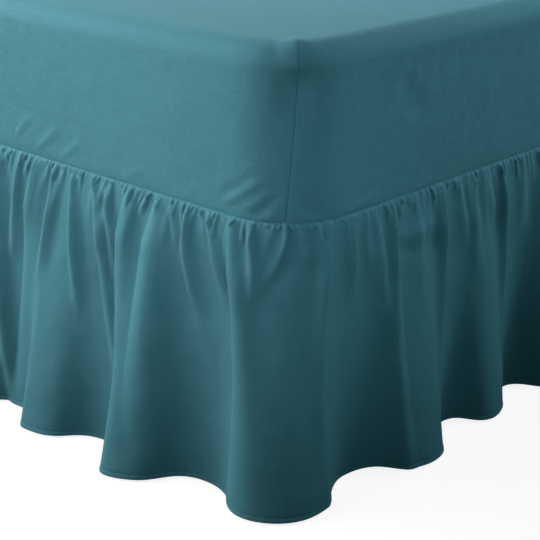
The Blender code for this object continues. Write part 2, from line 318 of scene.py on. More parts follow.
class ClothMesh:
    """Gathers the rows of one sheet of cloth and the faces between them."""

    def __init__(self) -> None:
        """An empty sheet."""
        self.points: list[Array] = []
        self.flat: list[Array] = []
        self.faces: list[list[int]] = []
        self.count = 0

    def add(self, points: Array, flat: Array) -> Array:
        """Adds a block of points.

        Args:
            points: Places, rows by columns by 3.
            flat: Places on the flat cloth, rows by columns by 2.

        Returns:
            The points' numbers, rows by columns.
        """
        rows, columns = points.shape[:2]
        numbers = self.count + np.arange(rows * columns).reshape(rows, columns)
        self.points.append(points.reshape(-1, 3))
        self.flat.append(np.broadcast_to(flat, (rows, columns, 2)).reshape(-1, 2))
        self.count += rows * columns
        return numbers

    def fill(self, numbers: Array) -> None:
        """Fills a block of points with four-sided faces. From outside, rows go down and columns right."""
        corners = (numbers[:-1, :-1], numbers[1:, :-1], numbers[1:, 1:], numbers[:-1, 1:])
        self.faces += np.stack(corners, axis=-1).reshape(-1, 4).tolist()

    def join(self, upper: Array, lower: Array, picks: Array, upper_is_fine: bool) -> None:
        """Joins a fine row to a coarse one, with one face for each step of the coarse row.

        Args:
            upper: Numbers of the upper row's points.
            lower: Numbers of the lower row's points.
            picks: For each point of the coarse row, the column of the fine row that it stands at.
            upper_is_fine: True if the upper row is the fine one.
        """
        for step, (first, last) in enumerate(zip(picks[:-1], picks[1:])):
            if upper_is_fine:
                face = [*lower[step:step + 2].tolist(), *upper[first:last + 1][::-1].tolist()]
            else:
                face = [upper[step + 1].item(), upper[step].item(), *lower[first:last + 1].tolist()]
            self.faces.append(face)

    def build(self, name: str) -> bpy.types.Object:
        """Makes the smooth mesh object, with the flat cloth as its UV map in metres.

        Args:
            name: The object's name.

        Returns:
            The object.
        """
        mesh = bpy.data.meshes.new(name)
        mesh.from_pydata(np.concatenate(self.points).tolist(), [], self.faces)
        corner = np.empty(len(mesh.loops), np.int32)
        mesh.loops.foreach_get("vertex_index", corner)
        mesh.uv_layers.new(name="flat").data.foreach_set("uv", np.concatenate(self.flat)[corner].ravel())
        mesh.shade_smooth()
        return linked(name, mesh)


def stitch_row(name: str, places: Array, ways: Array, outs: Array, length: float,
               radius: float) -> bpy.types.Object:
    """A row of machine stitches: each is a small spindle that dips into the cloth at both ends.

    A stitch is a tube of rings along its way, with t from -1 to 1 along it. A ring's radius is the full one
    times the root of 1 - t^2, and never under a fifth of it. Its middle sinks by 1.4 times the radius times
    t^4.

    Args:
        name: Name of the object.
        places: Middles of the stitches, n by 3.
        ways: Unit directions along the seam, n by 3.
        outs: Unit directions out of the cloth, n by 3.
        length: Length of a stitch in metres.
        radius: Radius of the thread in metres.

    Returns:
        The mesh object of all the stitches.
    """
    share = np.array([-1.0, -0.6, 0.0, 0.6, 1.0])
    turn = np.arange(5) * 2 * math.pi / 5
    across = np.cross(outs, ways)
    thinnest, sink = 0.2, 1.4 * radius
    swell = radius * np.sqrt(np.maximum(1 - share ** 2, thinnest ** 2))
    middle = (places[:, None] + ways[:, None] * (share * length / 2)[:, None]
              - outs[:, None] * (sink * share ** 4)[:, None])
    ring = (across[:, None, None] * np.cos(turn)[:, None] + outs[:, None, None] * np.sin(turn)[:, None])
    points = middle[:, :, None] + ring * swell[:, None, None]
    rings, sides = len(share), len(turn)
    numbers = np.arange(rings * sides).reshape(rings, sides)
    closed = np.concatenate([numbers, numbers[:, :1]], axis=1)
    walls = np.stack([closed[:-1, :-1], closed[:-1, 1:], closed[1:, 1:], closed[1:, :-1]],
                     axis=-1).reshape(-1, 4)
    first = np.arange(len(places))[:, None, None] * rings * sides
    faces = (walls + first).reshape(-1, 4).tolist()
    faces += (numbers[0][::-1] + first[:, 0]).tolist() + (numbers[-1] + first[:, 0]).tolist()
    mesh = bpy.data.meshes.new(name)
    mesh.from_pydata(points.reshape(-1, 3).tolist(), [], faces)
    mesh.shade_smooth()
    return linked(name, mesh)


# -----------------------------------------------------------------------------------------------------------
# Shaders


class Value:
    """A number that a node puts out. Operators on it add Math nodes."""

    def __init__(self, graph: "Graph", socket: bpy.types.NodeSocket) -> None:
        """Wraps an output socket of a graph."""
        self.graph = graph
        self.socket = socket

    def math(self, operation: str, *others: "Value | float", first: "Value | float | None" = None) -> "Value":
        """A Math node on this value.

        Args:
            operation: The Math node's operation.
            others: What comes after this value.
            first: What comes before it, where the order is turned round.

        Returns:
            The node's result.
        """
        values = [self, *others] if first is None else [first, self]
        made = self.graph.node("ShaderNodeMath", {"operation": operation}, dict(enumerate(values)))
        return Value(self.graph, made.outputs[0])

    def __add__(self, other: "Value | float") -> "Value":
        """Sum."""
        return self.math("ADD", other)

    def __radd__(self, other: float) -> "Value":
        """Sum with a number first."""
        return self.math("ADD", other)

    def __sub__(self, other: "Value | float") -> "Value":
        """Difference."""
        return self.math("SUBTRACT", other)

    def __rsub__(self, other: float) -> "Value":
        """Difference with a number first."""
        return self.math("SUBTRACT", first=other)

    def __mul__(self, other: "Value | float") -> "Value":
        """Product."""
        return self.math("MULTIPLY", other)

    def __rmul__(self, other: float) -> "Value":
        """Product with a number first."""
        return self.math("MULTIPLY", other)

    def __pow__(self, other: float) -> "Value":
        """Power."""
        return self.math("POWER", other)

    def sine(self) -> "Value":
        """Sine of the value in radians."""
        return self.math("SINE")


class Graph:
    """The node tree of one material, made from nothing."""

    def __init__(self, name: str) -> None:
        """A material with only its output node.

        Args:
            name: The material's name.
        """
        self.material = bpy.data.materials.new(name)
        self.material.use_nodes = True
        self.tree = self.material.node_tree
        self.tree.nodes.clear()
        self.output = self.tree.nodes.new("ShaderNodeOutputMaterial")

    def node(self, kind: str, settings: Mapping[str, Any] | None = None,
             sockets: Mapping[str | int, Any] | None = None) -> bpy.types.Node:
        """Adds a node.

        Args:
            kind: Blender's name of the node's type.
            settings: Its settings, such as a Math node's operation, set first.
            sockets: Values or links of its input sockets, by name or number.

        Returns:
            The node.
        """
        made = self.tree.nodes.new(kind)
        for setting, value in (settings or {}).items():
            setattr(made, setting, value)
        for socket, value in (sockets or {}).items():
            if isinstance(value, (Value, bpy.types.NodeSocket)):
                self.tree.links.new(getattr(value, "socket", value), made.inputs[socket])
            else:
                made.inputs[socket].default_value = value
        return made

    def value(self, kind: str, output: str | int, settings: Mapping[str, Any] | None = None,
              sockets: Mapping[str | int, Any] | None = None) -> Value:
        """Adds a node and wraps one of its outputs."""
        return Value(self, self.node(kind, settings, sockets).outputs[output])

    def object_place(self) -> bpy.types.NodeSocket:
        """Object coordinates."""
        return self.node("ShaderNodeTexCoord").outputs["Object"]

    def flat_place(self) -> bpy.types.NodeSocket:
        """Place on the flat cloth in metres."""
        return self.node("ShaderNodeUVMap", {"uv_map": "flat"}).outputs["UV"]

    def axes(self, place: bpy.types.NodeSocket) -> list[Value]:
        """The three numbers of a place."""
        parts = self.node("ShaderNodeSeparateXYZ", None, {0: place})
        return [Value(self, part) for part in parts.outputs]

    def stretched(self, place: bpy.types.NodeSocket, scale: Sequence[float]) -> bpy.types.NodeSocket:
        """The place times a scale for each axis."""
        return self.node("ShaderNodeMapping", None, {"Vector": place, "Scale": tuple(scale)}).outputs[0]

    def noise(self, place: bpy.types.NodeSocket, scale: float, detail: float = 2.0) -> Value:
        """Fractal noise of 0 to 1 at a place."""
        return self.value("ShaderNodeTexNoise", "Fac", None,
                          {"Vector": place, "Scale": scale, "Detail": detail, "Roughness": 0.55})

    def blend(self, share: "Value | float", first: Colour, second: Colour) -> bpy.types.NodeSocket:
        """A colour between two, by a share of the second."""
        made = self.node("ShaderNodeMix", {"data_type": "RGBA"}, {0: share, 6: first, 7: second})
        return made.outputs[2]

    def raised(self, height: Value, distance: float, strength: float = 1.0) -> bpy.types.NodeSocket:
        """Normals of a surface that is raised by the height times a distance in metres."""
        made = self.node("ShaderNodeBump", None,
                         {"Height": height, "Distance": distance, "Strength": strength})
        return made.outputs["Normal"]

    def finish(self, colour: bpy.types.NodeSocket, roughness: "Value | float",
               normal: bpy.types.NodeSocket | None,
               constants: Mapping[str, Any] | None = None) -> bpy.types.Material:
        """Closes the tree with a Principled shader.

        Args:
            colour: Base colour.
            roughness: Roughness, a number or what a node puts out.
            normal: Normals, or None for the surface's own.
            constants: Values of other sockets that are the same all over.

        Returns:
            The material.
        """
        sockets = {"Base Color": colour, "Roughness": roughness, **(constants or {})}
        if normal is not None:
            sockets["Normal"] = normal
        shader = self.node("ShaderNodeBsdfPrincipled", None, sockets)
        self.tree.links.new(shader.outputs[0], self.output.inputs["Surface"])
        return self.material


@dataclass(frozen=True)
class DyedCloth:
    """A plainly woven, evenly dyed cotton and polyester cloth with a slight sheen."""

    name: str
    colour: Colour
    deep_colour: Colour
    thread: float = 0.00042
    slub_width: float = 0.0016
    slub_length: float = 0.060
    weave_rise: float = 0.00005
    crumple_rise: float = 0.0014
    crumple_scale: float = 34.0
    slub_rise: float = 0.12
    cloud_scale: float = 3.5
    slub_tint: float = 2.8
    cloud_tint: float = 0.5
    weave_tint: float = 0.05
    tone_drop: float = 1.19
    roughness: float = 0.78
    roughness_spread: float = 0.10
    gloss: float = 0.16

    def material(self) -> bpy.types.Material:
        """The finish.

        The weave's height is the product of a sine across and a sine down the flat cloth. Slubs are noise
        drawn out along the threads, in both directions, and they tint the colour a little. Soft noise
        crumples the surface.

        Returns:
            The material.
        """
        graph = Graph(self.name)
        flat = graph.flat_place()
        turn = 2 * math.pi / self.thread
        across, down = (place * turn for place in graph.axes(flat)[:2])
        weave = across.sine() * down.sine()
        warp = graph.noise(graph.stretched(flat, (1 / self.slub_width, 1 / self.slub_length, 1)), 1.0)
        weft = graph.noise(graph.stretched(flat, (1 / self.slub_length, 1 / self.slub_width, 1)), 1.0)
        cloud = graph.noise(graph.object_place(), self.cloud_scale, 4.0)
        slubs = (warp + weft) * 0.5
        tone = slubs * self.slub_tint + cloud * self.cloud_tint - self.tone_drop + weave * self.weave_tint
        colour = graph.blend(tone, self.deep_colour, self.colour)
        soft = graph.noise(graph.object_place(), self.crumple_scale, 5.0)
        height = soft + weave * (self.weave_rise / self.crumple_rise) + slubs * self.slub_rise
        roughness = self.roughness + (slubs - 0.5) * self.roughness_spread
        return graph.finish(colour, roughness, graph.raised(height, self.crumple_rise),
                            {"Specular IOR Level": self.gloss})


@dataclass(frozen=True)
class Thread:
    """Twisted sewing thread in the cloth's colour."""

    name: str
    colour: Colour
    dark: Colour
    twist_scale: float = 2600.0
    twist_rise: float = 0.00008
    roughness: float = 0.6
    gloss: float = 0.35

    def material(self) -> bpy.types.Material:
        """The finish: fine noise for the twist's light and dark.

        Returns:
            The material.
        """
        graph = Graph(self.name)
        twist = graph.noise(graph.object_place(), self.twist_scale, 1.0)
        return graph.finish(graph.blend(twist, self.dark, self.colour), self.roughness + twist * 0.1,
                            graph.raised(twist, self.twist_rise), {"Specular IOR Level": self.gloss})


@dataclass(frozen=True)
class WovenCover:
    """The coarse cloth of a mattress or a divan base, from its two threads' colours and pitch."""

    name: str
    light: Colour
    dark: Colour
    thread: float
    roughness: float
    rib_slant: float = 0.3
    rib_tint: float = 0.2
    mottle_scale: float = 90.0
    mottle_tint: float = 0.6
    rise: float = 0.0003
    gloss: float = 0.2

    def material(self) -> bpy.types.Material:
        """The finish: two crossed sets of sine ribs on Object coordinates, with noise in the colour.

        Returns:
            The material.
        """
        graph = Graph(self.name)
        place = graph.object_place()
        turn = 2 * math.pi / self.thread
        x, y, z = graph.axes(place)
        ribs = ((x + y) * turn).sine() * ((z + y * self.rib_slant) * turn).sine()
        mottle = graph.noise(place, self.mottle_scale, 4.0)
        share = ribs * self.rib_tint + mottle * self.mottle_tint + 0.2
        return graph.finish(graph.blend(share, self.dark, self.light), self.roughness + mottle * 0.1,
                            graph.raised(ribs + mottle, self.rise), {"Specular IOR Level": self.gloss})


@dataclass(frozen=True)
class MouldedPlastic:
    """Black moulded plastic with a fine grain and a few scuffs."""

    name: str
    colour: Colour
    scuffed: Colour
    grain_scale: float = 900.0
    grain_rise: float = 0.00012
    scuff_scale: tuple[float, float, float] = (40.0, 40.0, 160.0)
    scuff_rarity: float = 4.0
    roughness: float = 0.42

    def material(self) -> bpy.types.Material:
        """The finish: grain from fine noise, and rare scuffs from a power of drawn-out noise.

        Returns:
            The material.
        """
        graph = Graph(self.name)
        place = graph.object_place()
        grain = graph.noise(place, self.grain_scale, 2.0)
        scuffs = graph.noise(graph.stretched(place, self.scuff_scale), 1.0, 4.0) ** self.scuff_rarity
        return graph.finish(graph.blend(scuffs, self.colour, self.scuffed), self.roughness + grain * 0.15,
                            graph.raised(grain, self.grain_rise))


@dataclass(frozen=True)
class PaleFloor:
    """A plain pale floor, lit evenly from below like a light table."""

    name: str = "pale_floor"
    colour: Colour = (0.30, 0.30, 0.30, 1.0)
    shade: Colour = (0.28, 0.28, 0.28, 1.0)
    glow: float = 0.86

    def material(self) -> bpy.types.Material:
        """The finish: one pale tone, hardly clouded.

        Returns:
            The material.
        """
        graph = Graph(self.name)
        cloud = graph.noise(graph.object_place(), 0.8, 2.0)
        return graph.finish(graph.blend(cloud, self.shade, self.colour), 0.9 + cloud * 0.02, None,
                            {"Specular IOR Level": 0.1, "Emission Color": (1.0, 1.0, 1.0, 1.0),
                             "Emission Strength": self.glow})


TEAL = DyedCloth("teal_cover_cloth", (0.069, 0.265, 0.322, 1.0), (0.055, 0.224, 0.274, 1.0))
# Painted shade: the frill is the same cloth as the cover, and its colours are lowered by some 6 % to stand in
# for the shade that falls on it.
TEAL_FRILL_PAINTED_SHADE = DyedCloth("teal_frill_cloth_painted_shade", (0.0645, 0.249, 0.305, 1.0), (0.051, 0.209, 0.256, 1.0))
TEAL_THREAD = Thread("teal_thread", (0.056, 0.225, 0.280, 1.0), (0.034, 0.150, 0.190, 1.0))
TICKING = WovenCover("mattress_ticking", (0.80, 0.79, 0.76, 1.0), (0.66, 0.65, 0.62, 1.0), 0.0024, 0.85)
DIVAN_CLOTH = WovenCover("divan_base_cloth", (0.46, 0.45, 0.44, 1.0), (0.30, 0.30, 0.29, 1.0), 0.0018, 0.88)
FOOT_PLASTIC = MouldedPlastic("black_foot_plastic", (0.018, 0.018, 0.019, 1.0), (0.16, 0.16, 0.16, 1.0))


# -----------------------------------------------------------------------------------------------------------
# The frill


class Fold(NamedTuple):
    """A fold of the hem: its peak, the valley after it, and how far it leans before it meets the seam."""

    peak_at: float
    peak_reach: float
    valley_at: float
    valley_reach: float
    lean: float


class Ridge(NamedTuple):
    """A ridge that runs down from its top place at the seam to its end place at a depth.

    Its middle is bowed sideways, and its crest is pushed to one side by the skew and rounded by the
    roundness.
    """

    top: float
    end: float
    depth: float
    height: float
    half_width: float
    bow: float = 0.0
    skew: float = 0.0
    roundness: float = 0.0


class RidgeRow(NamedTuple):
    """Ridges that grow alike: share of the height at the seam, full depth, and share at the hem."""

    ridges: list[Ridge]
    seam_share: float
    full_at: float
    hem_share: float


class Gathers(NamedTuple):
    """Sizes of a row of small ridges along the seam that lean towards larger ones.

    Pitch, height and depth are means. The pull is the share of the way to the nearest larger ridge that one
    has gone at its end, and the seed shifts the row's uneven numbers. The last two are the row's seam share
    and full depth.
    """

    pitch: float
    height: float
    depth: float
    pull: float
    seed: float
    seam_share: float
    full_at: float


CORNER_FOLDS = (
    Fold(-0.610, 0.132, -0.490, 0.086, -0.045),
    Fold(-0.437, 0.139, -0.289, 0.073, -0.055),
    Fold(-0.224, 0.138, -0.092, 0.052, -0.055),
    Fold(-0.012, 0.117, 0.080, 0.015, 0.000),
    Fold(0.210, 0.086, 0.322, 0.018, 0.035),
    Fold(0.392, 0.071, 0.495, 0.018, 0.040),
    Fold(0.575, 0.082, 0.668, 0.022, 0.020),
)

CORNER_RIDGES = (
    Ridge(-0.631, -0.500, 0.41, 0.015, 0.024, -0.018, -0.7),
    Ridge(-0.584, -0.560, 0.20, 0.010, 0.020, 0.000, -0.7),
    Ridge(-0.528, -0.474, 0.41, 0.019, 0.042, 0.006, -0.9, 0.7),
    Ridge(-0.488, -0.489, 0.27, 0.012, 0.019, 0.009, -0.7),
    Ridge(-0.444, -0.367, 0.25, 0.012, 0.019, -0.005, -0.7),
    Ridge(-0.392, -0.262, 0.38, 0.014, 0.022, 0.009, -0.7),
    Ridge(-0.365, -0.302, 0.20, 0.009, 0.016, 0.003, -0.7),
    Ridge(-0.300, -0.226, 0.41, 0.019, 0.033, -0.014, -0.8, 0.9),
    Ridge(-0.228, -0.178, 0.36, 0.019, 0.048, 0.000, -0.9, 0.4),
    Ridge(-0.217, -0.180, 0.09, 0.008, 0.016, 0.000, -0.7),
    Ridge(-0.178, -0.091, 0.21, 0.013, 0.020, -0.016, -0.8),
    Ridge(-0.140, -0.070, 0.15, 0.011, 0.017, -0.002, -0.6),
    Ridge(-0.087, -0.033, 0.41, 0.018, 0.026, 0.018, -0.8, 0.6),
    Ridge(-0.064, -0.064, 0.16, 0.012, 0.017, 0.020, -0.4),
    Ridge(0.052, 0.023, 0.41, 0.017, 0.017, -0.014, 0.9),
    Ridge(0.098, 0.088, 0.14, 0.010, 0.017, 0.000, 0.6),
    Ridge(0.142, 0.165, 0.24, 0.008, 0.026, 0.000, 0.4),
    Ridge(0.186, 0.160, 0.41, 0.012, 0.022, -0.004, 0.6),
    Ridge(0.242, 0.228, 0.20, 0.008, 0.024, 0.000, 0.4),
    Ridge(0.305, 0.268, 0.41, 0.016, 0.022, 0.003, 0.8),
    Ridge(0.348, 0.372, 0.14, 0.007, 0.022, 0.000, 0.4),
    Ridge(0.388, 0.392, 0.20, 0.006, 0.022, 0.000, 0.4),
    Ridge(0.424, 0.440, 0.10, 0.006, 0.018, 0.000, 0.4),
    Ridge(0.462, 0.429, 0.41, 0.015, 0.021, 0.015, 0.8),
    Ridge(0.534, 0.520, 0.16, 0.006, 0.022, 0.000, 0.4),
    Ridge(0.580, 0.575, 0.41, 0.013, 0.024, 0.000, 0.6),
    Ridge(0.632, 0.610, 0.16, 0.008, 0.022, 0.000, 0.4),
)

FRILL_CREASES = (
    Crease(((-0.008, 0.003), (-0.016, 0.050), (-0.048, 0.100)), 0.0052, 0.0068, starts_full=True),
    Crease(((0.003, 0.026), (-0.002, 0.056), (-0.034, 0.106)), -0.0022, 0.010),
    Crease(((-0.006, 0.026), (0.022, 0.044), (0.060, 0.030)), 0.0028, 0.013),
    Crease(((-0.026, 0.036), (0.018, 0.068), (0.066, 0.048)), -0.0013, 0.013),
    Crease(((0.182, 0.044), (0.240, 0.060), (0.308, 0.048)), 0.0030, 0.020),
    Crease(((0.170, 0.050), (0.238, 0.086), (0.316, 0.066)), -0.0020, 0.018),
)


@dataclass
class Frill:
    """The gathered strip that hangs from the cover's lower edge, with its turned hem and its stitching."""

    outline: Outline
    seam_height: float = 0.41
    hem_lift: float = 0.004
    seam_gap: float = 0.0006
    cover_thick: float = 0.0015

    # hem folds of the unseen stretches
    first_valley: Pair = (-0.700, 0.080)
    side_reach: Pair = (0.132, 0.068)
    end_reach: Pair = (0.080, 0.020)
    widest_side: float = 0.139
    corner_extra: float = 0.020
    strip_end_reach: float = 0.030
    fold_pitch: float = 0.193
    fold_wander: float = 0.30
    reach_wander: float = 0.25
    ridge_stray: float = 0.12
    ridge_wander: float = 0.5
    fold_ridges: tuple[Ridge, ...] = (  # their places are shares of the fold's pitch
        Ridge(-0.34, -0.08, 0.30, 0.012, 0.022),
        Ridge(-0.02, 0.00, 0.41, 0.014, 0.024),
        Ridge(0.24, 0.06, 0.26, 0.012, 0.021),
        Ridge(0.48, 0.46, 0.15, 0.009, 0.019),
    )

    # how the cloth opens from the seam down
    stand: float = 0.006
    flare_power: float = 1.02
    fold_power: float = 1.25
    ridge_at_seam: float = 0.20
    ridge_full_at: float = 0.075
    ridge_at_hem: float = 0.54
    ridge_spread: float = 0.30
    ridge_rounding: float = 0.12
    fade_from: float = 0.4
    growth: float = 0.8
    seam_width: float = 0.45
    pinned: float = 0.006
    fold_rounding: float = 0.07
    unevenness: float = 0.0007
    uneven_below: float = 0.12
    uneven_waves: Pair = (0.03, 0.16)

    # gathers: tucks between the ridges, and puckers between the tucks
    tucks: Gathers = Gathers(0.023, 0.0042, 0.065, 0.55, 0.0, 0.30, 0.030)
    puckers: Gathers = Gathers(0.0088, 0.0026, 0.022, 0.6, 0.4, 0.70, 0.006)
    gather_wander: float = 0.95
    gather_heights: float = 1.4
    gather_depths: Pair = (0.35, 1.9)
    gather_widths: Pair = (0.46, 0.7)
    gather_skew: float = 0.5
    pull_reach: float = 2.0
    foot_start: float = 0.04
    foot_gathers: float = 0.72
    puff: float = 0.0022
    puff_depth: float = 0.007
    puff_loss: float = 0.6
    puff_end: float = 0.15
    seam_tuck: float = 0.0012

    # hem
    hem_width: float = 0.0058
    hem_thick: float = 0.0011
    band_rise: float = 0.0005
    band_edge: float = 0.0016
    groove_depth: float = 0.0004
    groove_reach: float = 0.0014
    stitch_pitch: float = 0.0036
    stitch_length: float = 0.0026
    stitch_margin: float = 0.002
    thread_radius: float = 0.00022
    thread_lift: float = 0.00018

    # mesh
    grading: Grading = Grading(0.00140, 0.00285, 0.72, 0.24)
    samples: int = 6000
    slope_step: float = 0.0004
    way_step: float = 0.0005
    top_rows: tuple[float, ...] = (-0.0018, -0.0006, 0.0004, 0.0014, 0.0026, 0.0040, 0.0056, 0.0074, 0.0095,
                                   0.0122, 0.0155, 0.0195, 0.0245, 0.0305, 0.038, 0.047, 0.056)
    lower_row_step: float = 0.0088
    body_end: float = 0.006
    groove_rows: tuple[float, ...] = (0.0018, 0.0006, 0.0, -0.0006, -0.0018)
    edge_rows: tuple[float, ...] = (0.0025, 0.0012, 0.0004)
    turned_steps: tuple[float, ...] = (0.0005, 0.0012, 0.0045)

    # worked out
    drop: float = field(init=False)
    first: float = field(init=False)
    last: float = field(init=False)
    foot_corner: float = field(init=False)
    hem: Array = field(init=False)
    leans: Array = field(init=False)
    ridge_rows: list[RidgeRow] = field(init=False)
    cloth_length: float = field(init=False)

    def __post_init__(self) -> None:
        """Works out the folds, ridges and gathers all the way round."""
        self.drop = self.seam_height - self.hem_lift
        self.first = -(2 * self.outline.half_corner + self.outline.side_run)
        self.foot_corner, self.last = self.outline.corners[1:3]
        before = self.repeated_folds(self.first_valley[0], self.first)
        after = self.repeated_folds(CORNER_FOLDS[-1].valley_at, self.last)
        folds = sorted([*before, *CORNER_FOLDS, *after])
        knots = [self.first_valley]
        for fold in folds:
            knots += [(fold.peak_at, fold.peak_reach), (fold.valley_at, fold.valley_reach)]
        self.hem = np.array(sorted(knots))
        self.leans = np.array([(fold.peak_at, fold.lean) for fold in folds])
        ridges = sorted([*CORNER_RIDGES, *self.repeated_ridges(before), *self.repeated_ridges(after)])
        self.ridge_rows = [RidgeRow(ridges, self.ridge_at_seam, self.ridge_full_at, self.ridge_at_hem)]
        for sizes in (self.tucks, self.puckers):
            larger = np.array([ridge.top for ridge in self.ridge_rows[-1].ridges])
            self.ridge_rows.append(
                RidgeRow(self.gathers(sizes, larger), sizes.seam_share, sizes.full_at, 0.0))

    def repeated_folds(self, start: float, end: float) -> list[Fold]:
        """Folds of a stretch that starts in a valley: even ones, moved and scaled by uneven numbers.

        Args:
            start: Place of the stretch's first valley.
            end: Place of the strip's end.

        Returns:
            The folds in order away from start.
        """
        count = round(abs(end - start) / self.fold_pitch)
        pitch = (end - start) / count
        corner_arc = 2 * self.outline.half_corner
        folds = []
        for index in range(count):
            inner = index < count - 1
            peak_at = start + pitch * (index + 0.5 + self.fold_wander * uneven(index))
            valley_at = start + pitch * (index + 1 + self.fold_wander * uneven(index, 0.37) * inner)
            past_foot = peak_at - self.foot_corner
            side = float(ease((past_foot + corner_arc / 2) / corner_arc)) if end > start else 1.0
            corner = self.corner_extra * float(bump(past_foot, corner_arc))
            peak = self.end_reach[0] + (self.side_reach[0] - self.end_reach[0]) * side
            valley = self.end_reach[1] + (self.side_reach[1] - self.end_reach[1]) * side
            wander = self.reach_wander * (peak - valley)
            most = (self.widest_side - self.side_reach[0]) / wander
            peak_reach = peak + corner + wander * min(uneven(index, 0.21), most)
            valley_reach = valley + wander * uneven(index, 0.68) if inner else self.strip_end_reach
            folds.append(Fold(peak_at, peak_reach, valley_at, valley_reach, 0.0))
        return folds

    def repeated_ridges(self, folds: Sequence[Fold]) -> list[Ridge]:
        """The ridges that each fold of an unseen stretch draws in, from shares of the fold's pitch.

        Args:
            folds: The stretch's folds in order.

        Returns:
            The ridges.
        """
        ridges = []
        for index, fold in enumerate(folds):
            pitch = 2 * (fold.valley_at - fold.peak_at)
            for number, ridge in enumerate(self.fold_ridges):
                stray = self.ridge_stray * uneven(index, 0.29 * number)
                grow = 1 + self.ridge_wander * uneven(index, 0.53 * number)
                depth = self.drop if ridge.depth > self.drop else ridge.depth * grow
                ridges.append(Ridge(fold.peak_at + (ridge.top + stray) * pitch,
                                    fold.peak_at + ridge.end * pitch,
                                    depth, ridge.height * grow, ridge.half_width))
        return ridges

    def gathers(self, sizes: Gathers, larger: Array) -> list[Ridge]:
        """A row of small ridges along the seam, with uneven gaps, heights, depths and skews.

        Args:
            sizes: The row's sizes.
            larger: Sorted places of the larger ridges that they lean towards.

        Returns:
            The ridges in order.
        """
        places = []
        at = self.first
        while at < self.last:
            places.append(at)
            at += sizes.pitch * (1 + self.gather_wander * uneven(len(places), sizes.seed))
        least, spread = self.gather_depths
        width, narrowest = self.gather_widths
        most = self.pull_reach * sizes.pitch
        rows = []
        for number, (top, gap) in enumerate(zip(places, np.diff([*places, self.last]))):
            nearest = larger[np.argmin(np.abs(larger - top))]
            end = top + sizes.pull * float(np.clip(nearest - top, -most, most))
            grow = 1 + self.gather_heights * uneven(number, sizes.seed + 0.31)
            if self.foot_start < top < self.foot_corner:
                grow *= self.foot_gathers
            depth = sizes.depth * (least + spread * (0.5 + uneven(number, sizes.seed + 0.77)) ** 2)
            skew = self.gather_skew * uneven(number, sizes.seed + 0.13)
            rows.append(Ridge(top, end, depth, sizes.height * grow,
                              width * max(gap, narrowest * sizes.pitch), 0.0, skew))
        return rows

    def raise_ridges(self, out: Array, slide: Array, along: Array, depth: Array, row: RidgeRow) -> None:
        """Adds a row of ridges to a grid of the strip.

        A ridge is a crest about a slanting line, which a parabola bows. Its height and width grow with a
        power of the depth, from their shares at the seam, which pins it down, to the full ones at the row's
        full depth. Then its width spreads on, and its height fades towards its end, or to a share where it
        reaches the hem. A parabola pushes its crest sideways for the skew, and a sine moves its flanks
        outwards. Ridges that meet are joined by the cube root of the sum of their cubes, which leaves a
        sharp valley between them.

        Args:
            out: Distance out from the seam, rows by columns, added to.
            slide: Sideways move, rows by columns, added to.
            along: Places of the columns.
            depth: Depths of the rows.
            row: The ridges.
        """
        grown = np.clip(depth / row.full_at, 0.0, 1.0) ** self.growth
        rise = (row.seam_share + (1 - row.seam_share) * grown) * ease((depth + self.pinned / 6) / self.pinned)
        fan = self.seam_width + (1 - self.seam_width) * grown
        cubes = np.zeros_like(out)
        for ridge in row.ridges:
            down = np.clip(depth / min(ridge.depth, self.drop), 0.0, 1.0)
            if ridge.depth >= self.drop:
                fade = 1 - (1 - row.hem_share) * ease(down)
            else:
                fade = 1 - ease((down - self.fade_from) / (1 - self.fade_from))
            width = ridge.half_width * fan * (1 + self.ridge_spread * down)
            middle = ridge.top + (ridge.end - ridge.top) * down + ridge.bow * 4 * down * (1 - down)
            first, last = np.searchsorted(along, [(middle - width).min(), (middle + width).max()])
            if first == last:
                continue
            apart = np.clip((along[None, first:last] - middle[:, None]) / width[:, None], -1.0, 1.0)
            apart = apart - ridge.skew * 0.5 * (1 - apart * apart)
            strength = (ridge.height * rise * fade)[:, None]
            cubes[:, first:last] += (strength * crest(apart, ridge.roundness)) ** 3
            slide[:, first:last] += self.ridge_rounding * strength * np.sin(math.pi * apart)
        out += np.cbrt(cubes)

    def surface(self, along: Array, depth: Array) -> Array:
        """Place of the strip's cloth on a grid.

        The cloth opens with a power of the depth towards the hem's valleys, and swells into the hem's folds,
        which are half cosines between valley and peak. Ridges, tucks and puckers lie on that, listed creases
        on them, and a slight unevenness on all. Just below the seam the cloth tucks in and then puffs out, by
        an exponential of the depth.

        Args:
            along: Places of the columns along the seam, sorted.
            depth: Depths of the rows below the seam.

        Returns:
            Places, rows by columns by 3.
        """
        share = (depth / self.drop)[:, None]
        lean = np.interp(along, self.leans[:, 0], self.leans[:, 1])[None, :]
        at = np.clip(along[None, :] - lean * (1 - share), self.hem[0, 0], self.hem[-1, 0])
        index = np.clip(np.searchsorted(self.hem[:, 0], at, side="right") - 1, 0, len(self.hem) - 2)
        start, span = self.hem[index], self.hem[index + 1] - self.hem[index]
        between = (at - start[..., 0]) / span[..., 0]
        reach = start[..., 1] + span[..., 1] * (1 - np.cos(math.pi * between)) / 2
        valley = np.interp(at, self.hem[::2, 0], self.hem[::2, 1])
        opening = np.clip((depth - self.stand) / (self.drop - self.stand), 0.0, 1.0)[:, None]
        swell = opening ** self.fold_power
        out = valley * opening ** self.flare_power + (reach - valley) * swell
        slide = self.fold_rounding * span[..., 0] * np.sin(2 * math.pi * between) * swell

        for row in self.ridge_rows:
            self.raise_ridges(out, slide, along, depth, row)
        for crease in FRILL_CREASES:
            out += crease.relief(along, depth)
        uneven_share = self.unevenness * ease(depth / self.uneven_below)[:, None]
        out += uneven_share * crumple(along[None, :], depth[:, None], *self.uneven_waves)
        seam = (self.puff + self.seam_tuck) * (1 - np.exp(-depth / self.puff_depth)) - self.seam_tuck
        out += (seam * (1 - self.puff_loss * ease(depth / self.puff_end)))[:, None]

